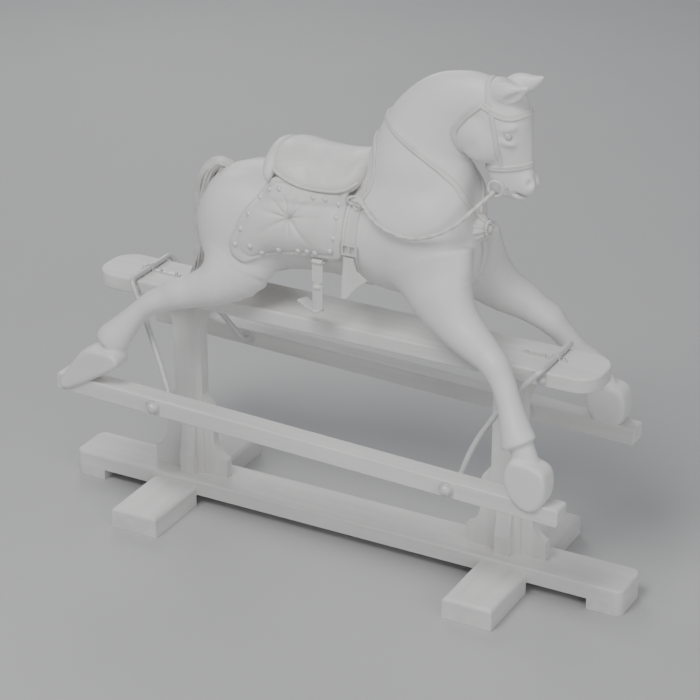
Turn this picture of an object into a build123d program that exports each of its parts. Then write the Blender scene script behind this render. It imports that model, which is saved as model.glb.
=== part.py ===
"""Carved wooden rocking horse that glides on two swing irons over a low timber stand.

Millimetres. The origin is the centre of the base on the floor, +Z is up and the horse faces +X.
"right" is the horse's own right side, towards -Y, and "left" is towards +Y.
"""

import os
from math import radians, tan

from build123d import *

# --- Stand ---------------------------------------------------------------------------------
PLANK_LENGTH = 1300.0
PLANK_WIDTH = 105.4
PLANK_BOTTOM = 24.0
PLANK_TOP = 57.0
PLANK_CORNER = 18.0
PLANK_EDGE = 5.0
END_PAD_LENGTH = 75.0
FOOT_X = 390.0
FOOT_LENGTH = 441.4
FOOT_WIDTH = 109.0
FOOT_TOP = 47.0
FOOT_EDGE = 9.0
FOOT_TONGUE_TOP = 36.0
FOOT_CUT = 114.0
POST_X = 375.0
POST_WIDTH = 69.0
POST_THICKNESS = 26.0
TENON_WIDTH = 45.0
TENON_THICKNESS = 12.0
TENON_LENGTH = 18.0
WING_THICKNESS = 20.0
SIDE_BRACKET_WIDTH = 33.0
RAIL_TOP = 506.5
RAIL_BOTTOM = 474.0
TOP_RAIL_LENGTH = 1149.0
TOP_RAIL_WIDTH = 125.2
TOP_RAIL_CORNER = 50.0
TOP_RAIL_EDGE = 4.0
SCREW_RADIUS = 3.0
SCREW_HEAD_RADIUS = 7.0
SCREW_HEAD_HEIGHT = 3.0
SCREW_DEPTH = 22.0

# --- Swing irons -----------------------------------------------------------------------------
IRON_RADIUS = 6.0
RUNNING_GAP = 0.25
IRON_TOP_X = 467.7
IRON_TOP_Z = RAIL_TOP + RUNNING_GAP + IRON_RADIUS
IRON_SHOULDER_Y = 76.0
IRON_INNER_Y = 153.0
IRON_END_Y = 222.0
IRON_BEND = 16.0
ARM_BEND = 300.0
ARM_CORNERS = (0.28, 0.72)
FRONT_BOW = 26.0
REAR_BOW = 4.0
FRONT_HOLE = (338.3, 288.7)
REAR_HOLE = (-333.2, 307.9)
WASHER_RADIUS = 16.0
WASHER_THICKNESS = 2.5
CAP_RADIUS = 13.0
STRAP_WIDTH = 10.0
STRAP_THICKNESS = 3.0
STRAP_TAIL = 72.0
STRAP_TAB = 22.0
SIDE_BOLT_RADIUS = 4.0
SIDE_BOLT_HEAD = 10.0
SIDE_BOLT_Z = 489.0

# --- Hoof rails ------------------------------------------------------------------------------
HOOF_RAIL_Y = 192.6
HOOF_RAIL_LENGTH = 1146.0
HOOF_RAIL_WIDTH = 44.0
HOOF_RAIL_HEIGHT = 37.0
HOOF_RAIL_Z = 298.4
HOOF_RAIL_PITCH = 1.64
REAR_SLOT_TRAVEL = 9.8
REAR_SLOT_LIFT = 2.6

# --- Horse: sections along each limb ---------------------------------------------------------
# Each row of the body is (x, top z, bottom z, half width).
BODY = (
    (-312, 725, 655, 26),
    (-298, 765, 606, 60),
    (-255, 787, 574, 91),
    (-195, 802, 574, 104),
    (-115, 806, 590, 108),
    (-30, 804, 601, 110),
    (60, 818, 597, 110),
    (140, 848, 585, 107),
    (215, 866, 592, 98),
    (268, 850, 622, 78),
    (300, 812, 672, 44),
)
# Each row of a limb is (x, y, z, half depth along the limb's own plane, half width across).
NECK = (
    (168, 0, 780, 128, 94),
    (168, 0, 850, 110, 76),
    (178, 0, 905, 92, 58),
    (203, 0, 948, 82, 48),
    (238, 0, 983, 72, 42),
    (276, 0, 1006, 60, 38),
    (312, 0, 1018, 46, 35),
)
HEAD = (
    (322, 0, 1062, 12, 16),
    (325, 0, 1050, 34, 31),
    (330, 0, 1020, 60, 41),
    (330, 0, 985, 72, 44),
    (332, 0, 952, 72, 43),
    (342, 0, 918, 60, 38),
    (358, 0, 888, 46, 32),
    (372, 0, 862, 38, 30),
    (383, 0, 842, 28, 26),
    (390, 0, 832, 12, 14),
)
FORE_LEG = (
    (225, 66, 690, 92, 44),
    (256, 84, 632, 70, 48),
    (302, 101, 588, 50, 44),
    (352, 115, 566, 39, 38),
    (402, 131, 534, 29, 30),
    (429, 147, 494, 26, 27),
    (450, 163, 456, 27, 27),
    (468, 180, 422, 33, 31),
    (484, 189, 398, 29, 27),
    (496, 192, 380, 26, 26),
)
HIND_LEG = (
    (-190, 54, 650, 80, 38),
    (-200, 80, 596, 72, 46),
    (-238, 100, 562, 48, 46),
    (-282, 113, 544, 37, 38),
    (-330, 126, 525, 29, 31),
    (-371, 139, 508, 27, 28),
    (-401, 151, 484, 22, 23),
    (-427, 165, 451, 21, 22),
    (-447, 178, 423, 26, 26),
    (-464, 186, 401, 25, 25),
    (-474, 190, 388, 23, 24),
)
# Each row of a hoof is (share of the way from coronet to sole, half length, half width).
FORE_HOOF_TOP = (494, 196, 386)
FORE_HOOF_SOLE = (504, 196, 270)
FORE_HOOF = ((0.0, 27, 24), (0.15, 35, 27), (0.42, 47, 28), (0.75, 40, 28), (1.0, 18, 26))
HIND_HOOF_TOP = (-468, 196, 388)
HIND_HOOF_SOLE = (-500, 196, 329)
HIND_HOOF = ((0.0, 25, 24), (0.25, 38, 27), (0.6, 56, 28), (1.0, 66, 27))
BLOCK_JOINT_Z = 700.0
EAR_BASE = (352, 31, 1040)
EAR_TIP = (412, 33, 1071)
EAR_RADIUS = 17.0
EYE = (366, 38, 962)
EYE_RADIUS = 9.0
TAIL = (
    (-262, 0, 781, 10, 9),
    (-290, 0, 786, 15, 13),
    (-318, 0, 766, 19, 18),
    (-333, 0, 722, 18, 20),
    (-339, 0, 670, 14, 20),
    (-339, 0, 610, 13, 20),
    (-344, 0, 560, 13, 18),
    (-358, 0, 530, 11, 14),
    (-372, 0, 517, 5, 6),
)

# --- Saddlery --------------------------------------------------------------------------------
SEAT = (
    (-128, 870, 34, 70),
    (-108, 862, 34, 80),
    (-50, 852, 30, 84),
    (0, 853, 30, 82),
    (40, 860, 30, 70),
    (66, 872, 22, 48),
)
CANTLE_X = -140.0
CANTLE_RADIUS = 17.0
CANTLE_REACH = 86.0
FLAP_THICKNESS = 7.0
FLAP_OUTLINE = (
    (-128, 804),
    (-150, 768),
    (-176, 728),
    (-200, 652),
    (-171, 624),
    (-96, 654),
    (-16, 669),
    (45, 674),
    (45, 808),
)
FLAP_SPLIT = 24.0
GIRTH_X = 70.0
GIRTH_WIDTH = 24.0
LEATHER_THICKNESS = 3.0
BUCKLE_Z = 702.0
BUCKLE_WIDTH = 34.0
BUCKLE_HEIGHT = 24.0
BUCKLE_BAR = 4.0
GIRTH_END_Y = 115.5
GIRTH_END_OUTLINE = ((60, 686), (80, 686), (88, 660), (110, 645), (87, 626), (64, 597), (54, 597), (57, 650))
STUD_RADIUS = 5.5
STUD_HEIGHT = 4.0
STUD_PLACES = (
    (-122, 788),
    (-93, 794),
    (-55, 795),
    (-16, 795),
    (12, 795),
    (35, 790),
    (35, 760),
    (35, 718),
    (26, 688),
    (-7, 684),
    (-45, 677),
    (-90, 670),
    (-132, 656),
    (-158, 662),
    (-186, 680),
    (-174, 700),
    (-160, 730),
    (-142, 758),
)
NECK_STRAP_WIDTH = 27.0
BRIDLE_WIDTH = 10.0
STRAP_GROW = 3.0
ROSETTE_CENTRE = (313, 752)
ROSETTE_RADIUS = 32.0
REIN_RADIUS = 3.5
BIT_RING_X = 346.0
BIT_RING_Y = 41.0
BIT_RING_Z = 856.0
BIT_RING_RADIUS = 15.0
BIT_WIRE = 2.5

# --- Stirrups --------------------------------------------------------------------------------
STIRRUP_Y = 112.0
STIRRUP_X = -2.0
HANGER_Z = 661.0
HANGER_RADIUS = 2.0
LOOP_RADIUS = 5.0
LEATHER_WIDTH = 24.0
IRON_BAR_Z = 606.0
IRON_EYE_WIDTH = 14.0
TREAD_Z = 558.0
TREAD_REACH = (-50.0, -24.0)
TREAD_THICKNESS = 5.0
STIRRUP_WIRE = 2.5

os.makedirs("parts", exist_ok=True)


def save(name, shape):
    """Writes one node, as a solid or as a group of separate solids."""
    solids = list(shape.solids())
    export_step(solids[0] if len(solids) == 1 else Compound(children=solids), f"parts/{name}.step")


def mirrored(shape):
    """The same shape on the other side of the horse's middle plane."""
    return mirror(shape, about=Plane.XZ)


def group(shapes):
    """Separate solids that share one node."""
    return Compound(children=[solid for shape in shapes for solid in shape.solids()])


def block(x, y, z_low, z_high, length, width):
    """Upright box by its centre in plan and its two heights."""
    return Pos(x, y, z_low) * Box(length, width, z_high - z_low, align=(Align.CENTER, Align.CENTER, Align.MIN))


def prism_y(points, y_low, y_high):
    """Outline in X and Z, solid between two values of Y."""
    face = Plane.XZ * make_face(Polyline(*points, close=True))
    return Pos(0, y_high, 0) * extrude(face, amount=y_high - y_low, dir=(0, -1, 0))


def lofted(rows, x_runs, grow):
    """Loft of elliptical sections; grow thickens it all round and lengthens both ends."""
    centres = [Vector(*row[:3]) for row in rows]
    last = len(rows) - 1
    sections = []
    for index, row in enumerate(rows):
        run = Vector(1, 0, 0) if x_runs else centres[min(index + 1, last)] - centres[max(index - 1, 0)]
        shift = {0: -grow, last: grow}.get(index, 0.0)
        plane = Plane(origin=centres[index] + run.normalized() * shift, x_dir=(0, 1, 0), z_dir=run)
        sections.append(plane * Ellipse(row[4] + grow, row[3] + grow))
    return loft(sections)


def limb(rows, grow=0.0):
    """A limb: each section lies square to the run between its neighbours."""
    return lofted(rows, False, grow)


def body(grow=0.0):
    """The horse's trunk: upright sections from rump to chest."""
    rows = [(x, 0, (top + bottom) / 2, (top - bottom) / 2, half_width) for x, top, bottom, half_width in BODY]
    return lofted(rows, True, grow)


# --- Stand -----------------------------------------------------------------------------------
def screw_up(x, y, z):
    """Coach screw driven upwards, its head recessed above z."""
    head = block(x, y, z, z + SCREW_HEAD_HEIGHT, 2, 2) + Pos(x, y, z) * Cylinder(
        SCREW_HEAD_RADIUS, SCREW_HEAD_HEIGHT, align=(Align.CENTER, Align.CENTER, Align.MIN)
    )
    shank = Pos(x, y, z) * Cylinder(SCREW_RADIUS, SCREW_DEPTH, align=(Align.CENTER, Align.CENTER, Align.MIN))
    return head + shank


def base_plank():
    """Long floor plank with rounded ends, housed for the cross feet and mortised for the posts."""
    plank = block(0, 0, PLANK_BOTTOM, PLANK_TOP, PLANK_LENGTH, PLANK_WIDTH)
    plank = fillet(plank.edges().filter_by(Axis.Z), PLANK_CORNER)
    plank = fillet(plank.edges().group_by(Axis.Z)[-1], PLANK_EDGE)
    for side in (-1, 1):
        plank -= block(side * FOOT_X, 0, PLANK_BOTTOM, FOOT_TONGUE_TOP, FOOT_WIDTH, PLANK_WIDTH)
        plank -= block(side * POST_X, 0, PLANK_TOP - TENON_LENGTH, PLANK_TOP, TENON_WIDTH, TENON_THICKNESS)
    return plank


def cross_foot(x):
    """Cross foot with rounded top edges, relieved underneath and halved into the plank."""
    foot = block(x, 0, 0, FOOT_TOP, FOOT_WIDTH, FOOT_LENGTH)
    foot = fillet(foot.edges().group_by(Axis.Z)[-1], FOOT_EDGE)
    foot -= block(x, 0, 0, PLANK_BOTTOM, FOOT_WIDTH, FOOT_CUT)
    foot -= block(x, 0, FOOT_TONGUE_TOP, FOOT_TOP, FOOT_WIDTH, PLANK_WIDTH)
    return foot


def end_pads():
    """Feet glued and screwed under both ends of the plank, cut to its rounded corners."""
    plan = block(0, 0, 0, PLANK_BOTTOM, PLANK_LENGTH, PLANK_WIDTH)
    plan = fillet(plan.edges().filter_by(Axis.Z), PLANK_CORNER)
    reach = PLANK_LENGTH / 2 - END_PAD_LENGTH
    return plan - block(0, 0, 0, PLANK_BOTTOM, 2 * reach, PLANK_WIDTH)


def post(x):
    """Upright with a stub tenon at each end."""
    shape = block(x, 0, PLANK_TOP, RAIL_BOTTOM, POST_WIDTH, POST_THICKNESS)
    shape += block(x, 0, PLANK_TOP - TENON_LENGTH, RAIL_BOTTOM + TENON_LENGTH, TENON_WIDTH, TENON_THICKNESS)
    return shape


def wing_bracket(x, side):
    """Shaped bracket on a post's edge: a rounded shoulder above and a flared foot below."""
    edge = POST_WIDTH / 2
    shoulder = Spline((edge, 246), (edge + 14, 228), (edge + 23.5, 200), tangents=((0.4, -1), (0, -1)))
    waist = Line((edge + 23.5, 200), (edge + 23.5, 146))
    flare = Spline((edge + 23.5, 146), (edge + 32, 118), (edge + 55, 98), tangents=((0, -1), (1, -0.35)))
    rest = Polyline((edge + 55, 98), (edge + 55, PLANK_TOP), (edge, PLANK_TOP), (edge, 246))
    face = Plane.XZ * make_face(shoulder + waist + flare + rest)
    shape = Pos(0, WING_THICKNESS / 2, 0) * extrude(face, amount=WING_THICKNESS, dir=(0, -1, 0))
    if side < 0:
        shape = mirror(shape, about=Plane.YZ)
    return Pos(x, 0, 0) * shape


def side_bracket(x, side):
    """Narrow tapered bracket on a post's broad face."""
    inner = POST_THICKNESS / 2
    slope = Spline((inner, 204), (inner + 5, 160), (inner + 16, 98), tangents=((0, -1), (0.3, -1)))
    rest = Polyline((inner + 16, 98), (inner + 16, PLANK_TOP), (inner, PLANK_TOP), (inner, 204))
    face = Plane.YZ * make_face(slope + rest)
    shape = Pos(-SIDE_BRACKET_WIDTH / 2, 0, 0) * extrude(face, amount=SIDE_BRACKET_WIDTH, dir=(1, 0, 0))
    if side < 0:
        shape = mirrored(shape)
    return Pos(x, 0, 0) * shape


def head_corbel(x, side):
    """Corbel that spreads the post's head under the top rail."""
    edge = POST_WIDTH / 2
    curve = Spline((edge, 404), (edge + 11, 430), (edge + 45, 458), tangents=((0.25, 1), (1, 0.35)))
    rest = Polyline((edge + 45, 458), (edge + 45, RAIL_BOTTOM), (edge, RAIL_BOTTOM), (edge, 404))
    face = Plane.XZ * make_face(curve + rest)
    shape = Pos(0, POST_THICKNESS / 2, 0) * extrude(face, amount=POST_THICKNESS, dir=(0, -1, 0))
    if side < 0:
        shape = mirror(shape, about=Plane.YZ)
    return Pos(x, 0, 0) * shape


def side_bolts():
    """Cross bolts through the top rail, one under each swing iron, with domed heads."""
    half = TOP_RAIL_WIDTH / 2
    shapes = []
    for side in (-1, 1):
        place = Pos(side * (IRON_TOP_X - 3), 0, SIDE_BOLT_Z)
        bolt = place * Rot(90, 0, 0) * Cylinder(SIDE_BOLT_RADIUS, 2 * half)
        for end in (-1, 1):
            dome = Pos(0, end * half, 0) * (Sphere(SIDE_BOLT_HEAD) - Pos(0, -end * 20, 0) * Box(60, 40, 60))
            bolt += place * dome
        shapes.append(bolt)
    return shapes


def top_rail(bolts):
    """Top rail with round ends, mortised for the posts and bored for the cross bolts."""
    rail = block(0, 0, RAIL_BOTTOM, RAIL_TOP, TOP_RAIL_LENGTH, TOP_RAIL_WIDTH)
    rail = fillet(rail.edges().filter_by(Axis.Z), TOP_RAIL_CORNER)
    rail = fillet(rail.edges().group_by(Axis.Z)[-1], TOP_RAIL_EDGE)
    rail = fillet(rail.edges().group_by(Axis.Z)[0], TOP_RAIL_EDGE)
    for side in (-1, 1):
        rail -= block(side * POST_X, 0, RAIL_BOTTOM, RAIL_BOTTOM + TENON_LENGTH, TENON_WIDTH, TENON_THICKNESS)
    for bolt in bolts:
        rail -= bolt
    return rail


def bearing_strap(side):
    """Iron strap along the top rail, humped over the swing iron's crossing rod."""
    bore = IRON_RADIUS + RUNNING_GAP
    hump = Rot(90, 0, 0) * Cylinder(bore + STRAP_THICKNESS, STRAP_WIDTH)
    low = RAIL_TOP - IRON_TOP_Z
    shape = Pos(-side * STRAP_TAIL / 2, 0, low) * Box(STRAP_TAIL, STRAP_WIDTH, STRAP_THICKNESS, align=(
        Align.CENTER, Align.CENTER, Align.MIN))
    shape += Pos(side * STRAP_TAB / 2, 0, low) * Box(STRAP_TAB, STRAP_WIDTH, STRAP_THICKNESS, align=(
        Align.CENTER, Align.CENTER, Align.MIN))
    shape += hump
    shape -= Rot(90, 0, 0) * Cylinder(bore, STRAP_WIDTH)
    shape -= Pos(0, 0, -bore / 2) * Box(2 * bore, STRAP_WIDTH, bore)
    shape -= Pos(0, 0, low - 20) * Box(300, 60, 40)
    return Pos(side * IRON_TOP_X, 0, IRON_TOP_Z) * shape


def strap_screws():
    """Round-headed screws through the straps' tails and tabs, into the top rail."""
    shapes = []
    for side in (-1, 1):
        for offset in (-STRAP_TAIL + 8, -26, STRAP_TAB - 6):
            place = Pos(side * (IRON_TOP_X + offset), 0, RAIL_TOP)
            shank = Cylinder(1.8, 20, align=(Align.CENTER, Align.CENTER, Align.MAX))
            head = Sphere(4) - Pos(0, 0, -10) * Box(20, 20, 20)
            neck = Cylinder(1.8, STRAP_THICKNESS, align=(Align.CENTER, Align.CENTER, Align.MIN))
            shapes.append(place * (shank + neck + Pos(0, 0, STRAP_THICKNESS) * head))
    return shapes


# --- Swing irons -----------------------------------------------------------------------------
def straight_rod(start, end):
    """Straight run of round iron rod."""
    run = end - start
    return extrude(Plane(origin=start, z_dir=run) * Circle(IRON_RADIUS), amount=run.length)


def bent_rod(corners, bends):
    """Round iron rod along straight runs, turned through an arc of the given radius at each corner."""
    start = corners[0]
    pieces = []
    for before, corner, after, bend in zip(corners, corners[1:], corners[2:], bends):
        inward = (corner - before).normalized()
        outward = (after - corner).normalized()
        turn = inward.get_angle(outward)
        reach = bend * tan(radians(turn / 2))
        entry = corner - inward * reach
        normal = inward.cross(outward).normalized()
        centre = entry + normal.cross(inward) * bend
        section = Plane(origin=entry, z_dir=inward) * Circle(IRON_RADIUS)
        pieces.append(straight_rod(start, entry))
        pieces.append(revolve(section, Axis(centre, normal), turn))
        start = corner + outward * reach
    pieces.append(straight_rod(start, corners[-1]))
    rod = pieces[0]
    for piece in pieces[1:]:
        rod += piece
    return rod


def swing_iron(side, hole, bow):
    """Round rod: a crossing over the top rail, two arms down, and a journal through each hoof rail.

    The crossing stays straight until it is past the rail's edge, so that the rod turns freely on it.
    The arms bow towards the middle of the stand by bow at half height.
    """
    top = Vector(side * IRON_TOP_X, IRON_SHOULDER_Y, IRON_TOP_Z)
    low = Vector(hole[0], IRON_INNER_Y, hole[1])
    arm = []
    for share in ARM_CORNERS:
        inward = Vector(-side * bow * 4 * share * (1 - share), 0, 0)
        arm.append(top + (low - top) * share + inward)
    corners = [Vector(top.X, 0, top.Z), top, *arm, low, Vector(low.X, IRON_END_Y, low.Z)]
    rod = bent_rod(corners, [IRON_BEND, ARM_BEND, ARM_BEND, IRON_BEND])
    return rod + mirrored(rod)


def iron_washers(hole):
    """Plain washers on both faces of both hoof rails."""
    shapes = []
    outer = HOOF_RAIL_Y + HOOF_RAIL_WIDTH / 2
    inner = HOOF_RAIL_Y - HOOF_RAIL_WIDTH / 2 - WASHER_THICKNESS
    for side in (-1, 1):
        for y in (outer, inner):
            disc = Cylinder(WASHER_RADIUS, WASHER_THICKNESS) - Cylinder(IRON_RADIUS, WASHER_THICKNESS)
            centre = side * (y + WASHER_THICKNESS / 2)
            shapes.append(Pos(hole[0], centre, hole[1]) * Rot(90, 0, 0) * disc)
    return group(shapes)


def iron_caps(hole):
    """Domed cap nuts on the rod's ends."""
    shapes = []
    y = HOOF_RAIL_Y + HOOF_RAIL_WIDTH / 2 + WASHER_THICKNESS
    for side in (-1, 1):
        dome = Sphere(CAP_RADIUS) - Pos(0, -side * CAP_RADIUS, 0) * Box(40, 2 * CAP_RADIUS, 40)
        cap = Pos(hole[0], side * y, hole[1]) * dome
        bore = Pos(hole[0], side * (IRON_END_Y - 10), hole[1]) * Rot(90, 0, 0) * Cylinder(IRON_RADIUS, 20)
        shapes.append(cap - bore)
    return group(shapes)


# --- Hoof rails ------------------------------------------------------------------------------
def hoof_rail():
    """Left hoof rail, pitched slightly nose-down, bored at the front and slotted at the rear."""
    rail = Box(HOOF_RAIL_LENGTH, HOOF_RAIL_WIDTH, HOOF_RAIL_HEIGHT)
    rail = fillet(rail.edges().filter_by(Axis.Y), 6)
    rail = fillet(rail.edges(), 2.5)
    rail = Pos(0, HOOF_RAIL_Y, HOOF_RAIL_Z) * Rot(0, HOOF_RAIL_PITCH, 0) * rail
    bore = Rot(90, 0, 0) * Cylinder(IRON_RADIUS + RUNNING_GAP, 2 * HOOF_RAIL_WIDTH)
    rail -= Pos(FRONT_HOLE[0], HOOF_RAIL_Y, FRONT_HOLE[1]) * bore
    slot_height = 2 * (IRON_RADIUS + RUNNING_GAP) + REAR_SLOT_LIFT + 1
    slot = SlotOverall(slot_height + REAR_SLOT_TRAVEL, slot_height)
    slot = Rot(90, 0, 0) * extrude(slot, amount=HOOF_RAIL_WIDTH, both=True)
    centre_x = REAR_HOLE[0] - REAR_SLOT_TRAVEL / 2
    rail -= Pos(centre_x, HOOF_RAIL_Y, REAR_HOLE[1] + REAR_SLOT_LIFT / 2) * slot
    return rail


def hoof(rows, top, sole, rail):
    """Left hoof, flat on its inner side and notched over the hoof rail's outer edge."""
    top, sole = Vector(*top), Vector(*sole)
    run = sole - top
    sections = []
    for share, half_length, half_width in rows:
        plane = Plane(origin=top + run * share, x_dir=(0, 1, 0), z_dir=run)
        sections.append(plane * Ellipse(half_width, half_length))
    inner = HOOF_RAIL_Y - HOOF_RAIL_WIDTH / 2
    return loft(sections) - block(top.X, inner - 50, 0, 600, 400, 100) - rail


def carved_leg(rows, foot, rail, bodies):
    """Left leg with its hoof, housed against the body blocks."""
    leg = limb(rows) + foot
    for other in [rail, *bodies]:
        leg -= other
    return leg.solids().sort_by(SortBy.VOLUME)[-1]


def ears():
    """Two pricked ears."""
    base, tip = Vector(*EAR_BASE), Vector(*EAR_TIP)
    run = tip - base
    sections = []
    for share, size in ((0.0, 0.8), (0.3, 1.0), (0.65, 0.7), (1.0, 0.12)):
        plane = Plane(origin=base + run * share, x_dir=(0, 1, 0), z_dir=run)
        sections.append(plane * Ellipse(EAR_RADIUS * size * 0.8, EAR_RADIUS * size))
    ear = loft(sections)
    return group([ear, mirrored(ear)])


def eyes():
    """Two glass eyes, set into the head."""
    eye = Pos(*EYE) * Sphere(EYE_RADIUS)
    return group([eye, mirrored(eye)])


# --- Saddlery --------------------------------------------------------------------------------
def saddle_seat():
    """Stuffed leather seat, dished in the middle and rising to the pommel."""
    sections = []
    for x, top, half_height, half_width in SEAT:
        plane = Plane(origin=(x, 0, top - half_height), x_dir=(0, 1, 0), z_dir=(1, 0, 0))
        sections.append(plane * Ellipse(half_width, half_height))
    return loft(sections)


def cantle_roll():
    """Rolled rim behind the seat, bent over the horse's back."""
    path = ThreePointArc((CANTLE_X, -CANTLE_REACH, 802), (CANTLE_X, 0, 850), (CANTLE_X, CANTLE_REACH, 802))
    start = Plane(origin=path @ 0, z_dir=path % 0)
    return sweep(start * Circle(CANTLE_RADIUS), path=path)


def trunk_surface(x, z, grow):
    """Point and outward normal on the trunk's left side, at a given X and Z and height above it."""
    rows = [(low, high) for low, high in zip(BODY, BODY[1:]) if low[0] <= x <= high[0]]
    low, high = rows[0]
    share = (x - low[0]) / (high[0] - low[0])
    top, bottom, half_width = (a + (b - a) * share for a, b in zip(low[1:], high[1:]))
    half_height = (top - bottom) / 2 + grow
    half_width += grow
    rise = (z - (top + bottom) / 2) / half_height
    y = half_width * (1 - rise**2) ** 0.5
    return Vector(x, y, z), Vector(0, y / half_width**2, rise / half_height).normalized()


def flap(trunk):
    """Left half of the studded saddle cloth, lying on the trunk."""
    return (body(grow=FLAP_THICKNESS) & prism_y(FLAP_OUTLINE, FLAP_SPLIT, 200)) - trunk


def studs(base):
    """Domed studs round the edge of both flaps, bedded on the base."""
    shapes = []
    for x, z in STUD_PLACES:
        point, normal = trunk_surface(x, z, FLAP_THICKNESS)
        plane = Plane(origin=point + normal * 0.8, z_dir=normal)
        dome = Sphere(STUD_RADIUS) - Pos(0, 0, -STUD_RADIUS) * Box(30, 30, 2 * STUD_RADIUS)
        stud = plane * scale(dome, by=(1, 1, STUD_HEIGHT / STUD_RADIUS))
        stud -= base
        shapes += [stud, mirrored(stud)]
    return group(shapes)


def band(shape, origin, normal, width):
    """The slice of a shape between two parallel planes."""
    return shape & (Plane(origin=origin, z_dir=normal) * Box(700, 700, width))


def girth_end():
    """Loose flared end of the girth on the left, hanging from its buckle."""
    return prism_y(GIRTH_END_OUTLINE, GIRTH_END_Y, GIRTH_END_Y + LEATHER_THICKNESS)


def buckle():
    """Left girth buckle: a rectangular frame with a centre bar."""
    frame = Box(BUCKLE_WIDTH, BUCKLE_HEIGHT, BUCKLE_BAR)
    frame -= Box(BUCKLE_WIDTH - 2 * BUCKLE_BAR, BUCKLE_HEIGHT - 2 * BUCKLE_BAR, BUCKLE_BAR)
    frame += Box(BUCKLE_BAR, BUCKLE_HEIGHT, BUCKLE_BAR)
    point, normal = trunk_surface(GIRTH_X, BUCKLE_Z, LEATHER_THICKNESS)
    lift = BUCKLE_BAR / 2 + 1.0
    return Plane(origin=point + normal * lift, x_dir=(1, 0, 0), z_dir=normal) * frame


def rosette():
    """Round rosette on the chest where the breast strap's ends meet."""
    plane = Plane(origin=(ROSETTE_CENTRE[0], 0, ROSETTE_CENTRE[1]), z_dir=(1, 0, 0.1))
    dome = scale(Sphere(ROSETTE_RADIUS * 0.62), by=(1, 1, 0.5))
    return plane * (Cylinder(ROSETTE_RADIUS, 14) + Pos(0, 0, 6) * dome)


def cord(points, radius):
    """Round cord through the points."""
    path = Spline(*points)
    start = Plane(origin=path @ 0, z_dir=path % 0)
    return sweep(start * Circle(radius), path=path)


def rein():
    """Left rein: a round cord that hangs from the pommel and rises to the bit ring."""
    end_z = BIT_RING_Z - BIT_RING_RADIUS - REIN_RADIUS - BIT_WIRE
    return cord(
        (
            (76, 72, 872),
            (94, 108, 818),
            (125, 124, 780),
            (190, 125, 758),
            (252, 116, 771),
            (300, 90, 802),
            (330, 58, 826),
            (BIT_RING_X, BIT_RING_Y, end_z),
        ),
        REIN_RADIUS,
    )


def bit():
    """Bar bit through the mouth with a ring at each cheek."""
    ring = Pos(BIT_RING_X, BIT_RING_Y, BIT_RING_Z) * Rot(90, 0, 0) * Torus(BIT_RING_RADIUS, BIT_WIRE)
    bar = Pos(BIT_RING_X + BIT_RING_RADIUS, 0, BIT_RING_Z) * Rot(90, 0, 0) * Cylinder(BIT_WIRE, 2 * BIT_RING_Y)
    return ring + mirrored(ring) + bar


def throat_lash():
    """Strap from the headpiece round behind the cheeks."""
    side = ((318, 42, 1014), (286, 44, 988), (256, 38, 950), (254, 24, 918), (258, 0, 905))
    points = side + tuple((x, -y, z) for x, y, z in reversed(side[:-1]))
    return cord(points, 4.0)


# --- Stirrups --------------------------------------------------------------------------------
def stirrup_hanger(trunk):
    """Left staple driven into the trunk to carry the stirrup leather."""
    bar = Pos(STIRRUP_X, STIRRUP_Y, HANGER_Z) * Rot(0, 90, 0) * Cylinder(HANGER_RADIUS, LEATHER_WIDTH + 10)
    shape = bar
    for end in (-1, 1):
        x = STIRRUP_X + end * (LEATHER_WIDTH / 2 + 3)
        shape += Pos(x, STIRRUP_Y - 12, HANGER_Z) * Rot(90, 0, 0) * Cylinder(HANGER_RADIUS, 24)
    return shape


def barrel(z, width):
    """Rolled loop of leather about a bar that runs along X."""
    tube = Cylinder(LOOP_RADIUS, width) - Cylinder(HANGER_RADIUS + RUNNING_GAP, width)
    return Pos(STIRRUP_X, STIRRUP_Y, z) * Rot(0, 90, 0) * tube


def stirrup_leather():
    """Left stirrup leather: a flat strap with a loop at each end."""
    strap = block(STIRRUP_X, STIRRUP_Y, IRON_BAR_Z + 12, HANGER_Z - 3.5, LEATHER_WIDTH, LEATHER_THICKNESS)
    strap += block(STIRRUP_X, STIRRUP_Y, IRON_BAR_Z + 3.5, IRON_BAR_Z + 12, IRON_EYE_WIDTH, LEATHER_THICKNESS)
    return strap + barrel(HANGER_Z, LEATHER_WIDTH - 2) + barrel(IRON_BAR_Z, IRON_EYE_WIDTH - 1)


def stirrup_iron():
    """Left stirrup iron: a broad outer branch, a tread turned in under the horse and a wire inner branch."""
    x, y, z = STIRRUP_X, STIRRUP_Y, IRON_BAR_Z
    shape = Pos(x, y, z) * Rot(0, 90, 0) * Cylinder(HANGER_RADIUS, LEATHER_WIDTH - 2)
    for end in (-1, 1):
        shape += block(x + end * (LEATHER_WIDTH / 2 - 2), y, z - 12, z + 2, 4, 4)
    shape += block(x, y, TREAD_Z, z - 8, LEATHER_WIDTH, 4)
    reach = Vector(*TREAD_REACH)
    heading = Plane(origin=(x, y, TREAD_Z), x_dir=reach, z_dir=(0, 0, 1))
    length = reach.length + 18
    shape += heading * Pos(length / 2 - 10, 0, 0) * Box(length, 24, TREAD_THICKNESS)
    wire = cord(
        (
            (x + reach.X, y + reach.Y, TREAD_Z),
            (x + reach.X - 2, y + reach.Y, TREAD_Z + 22),
            (x - LEATHER_WIDTH / 2 + 2, y, z - 6),
        ),
        STIRRUP_WIRE,
    )
    return shape + wire


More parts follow.
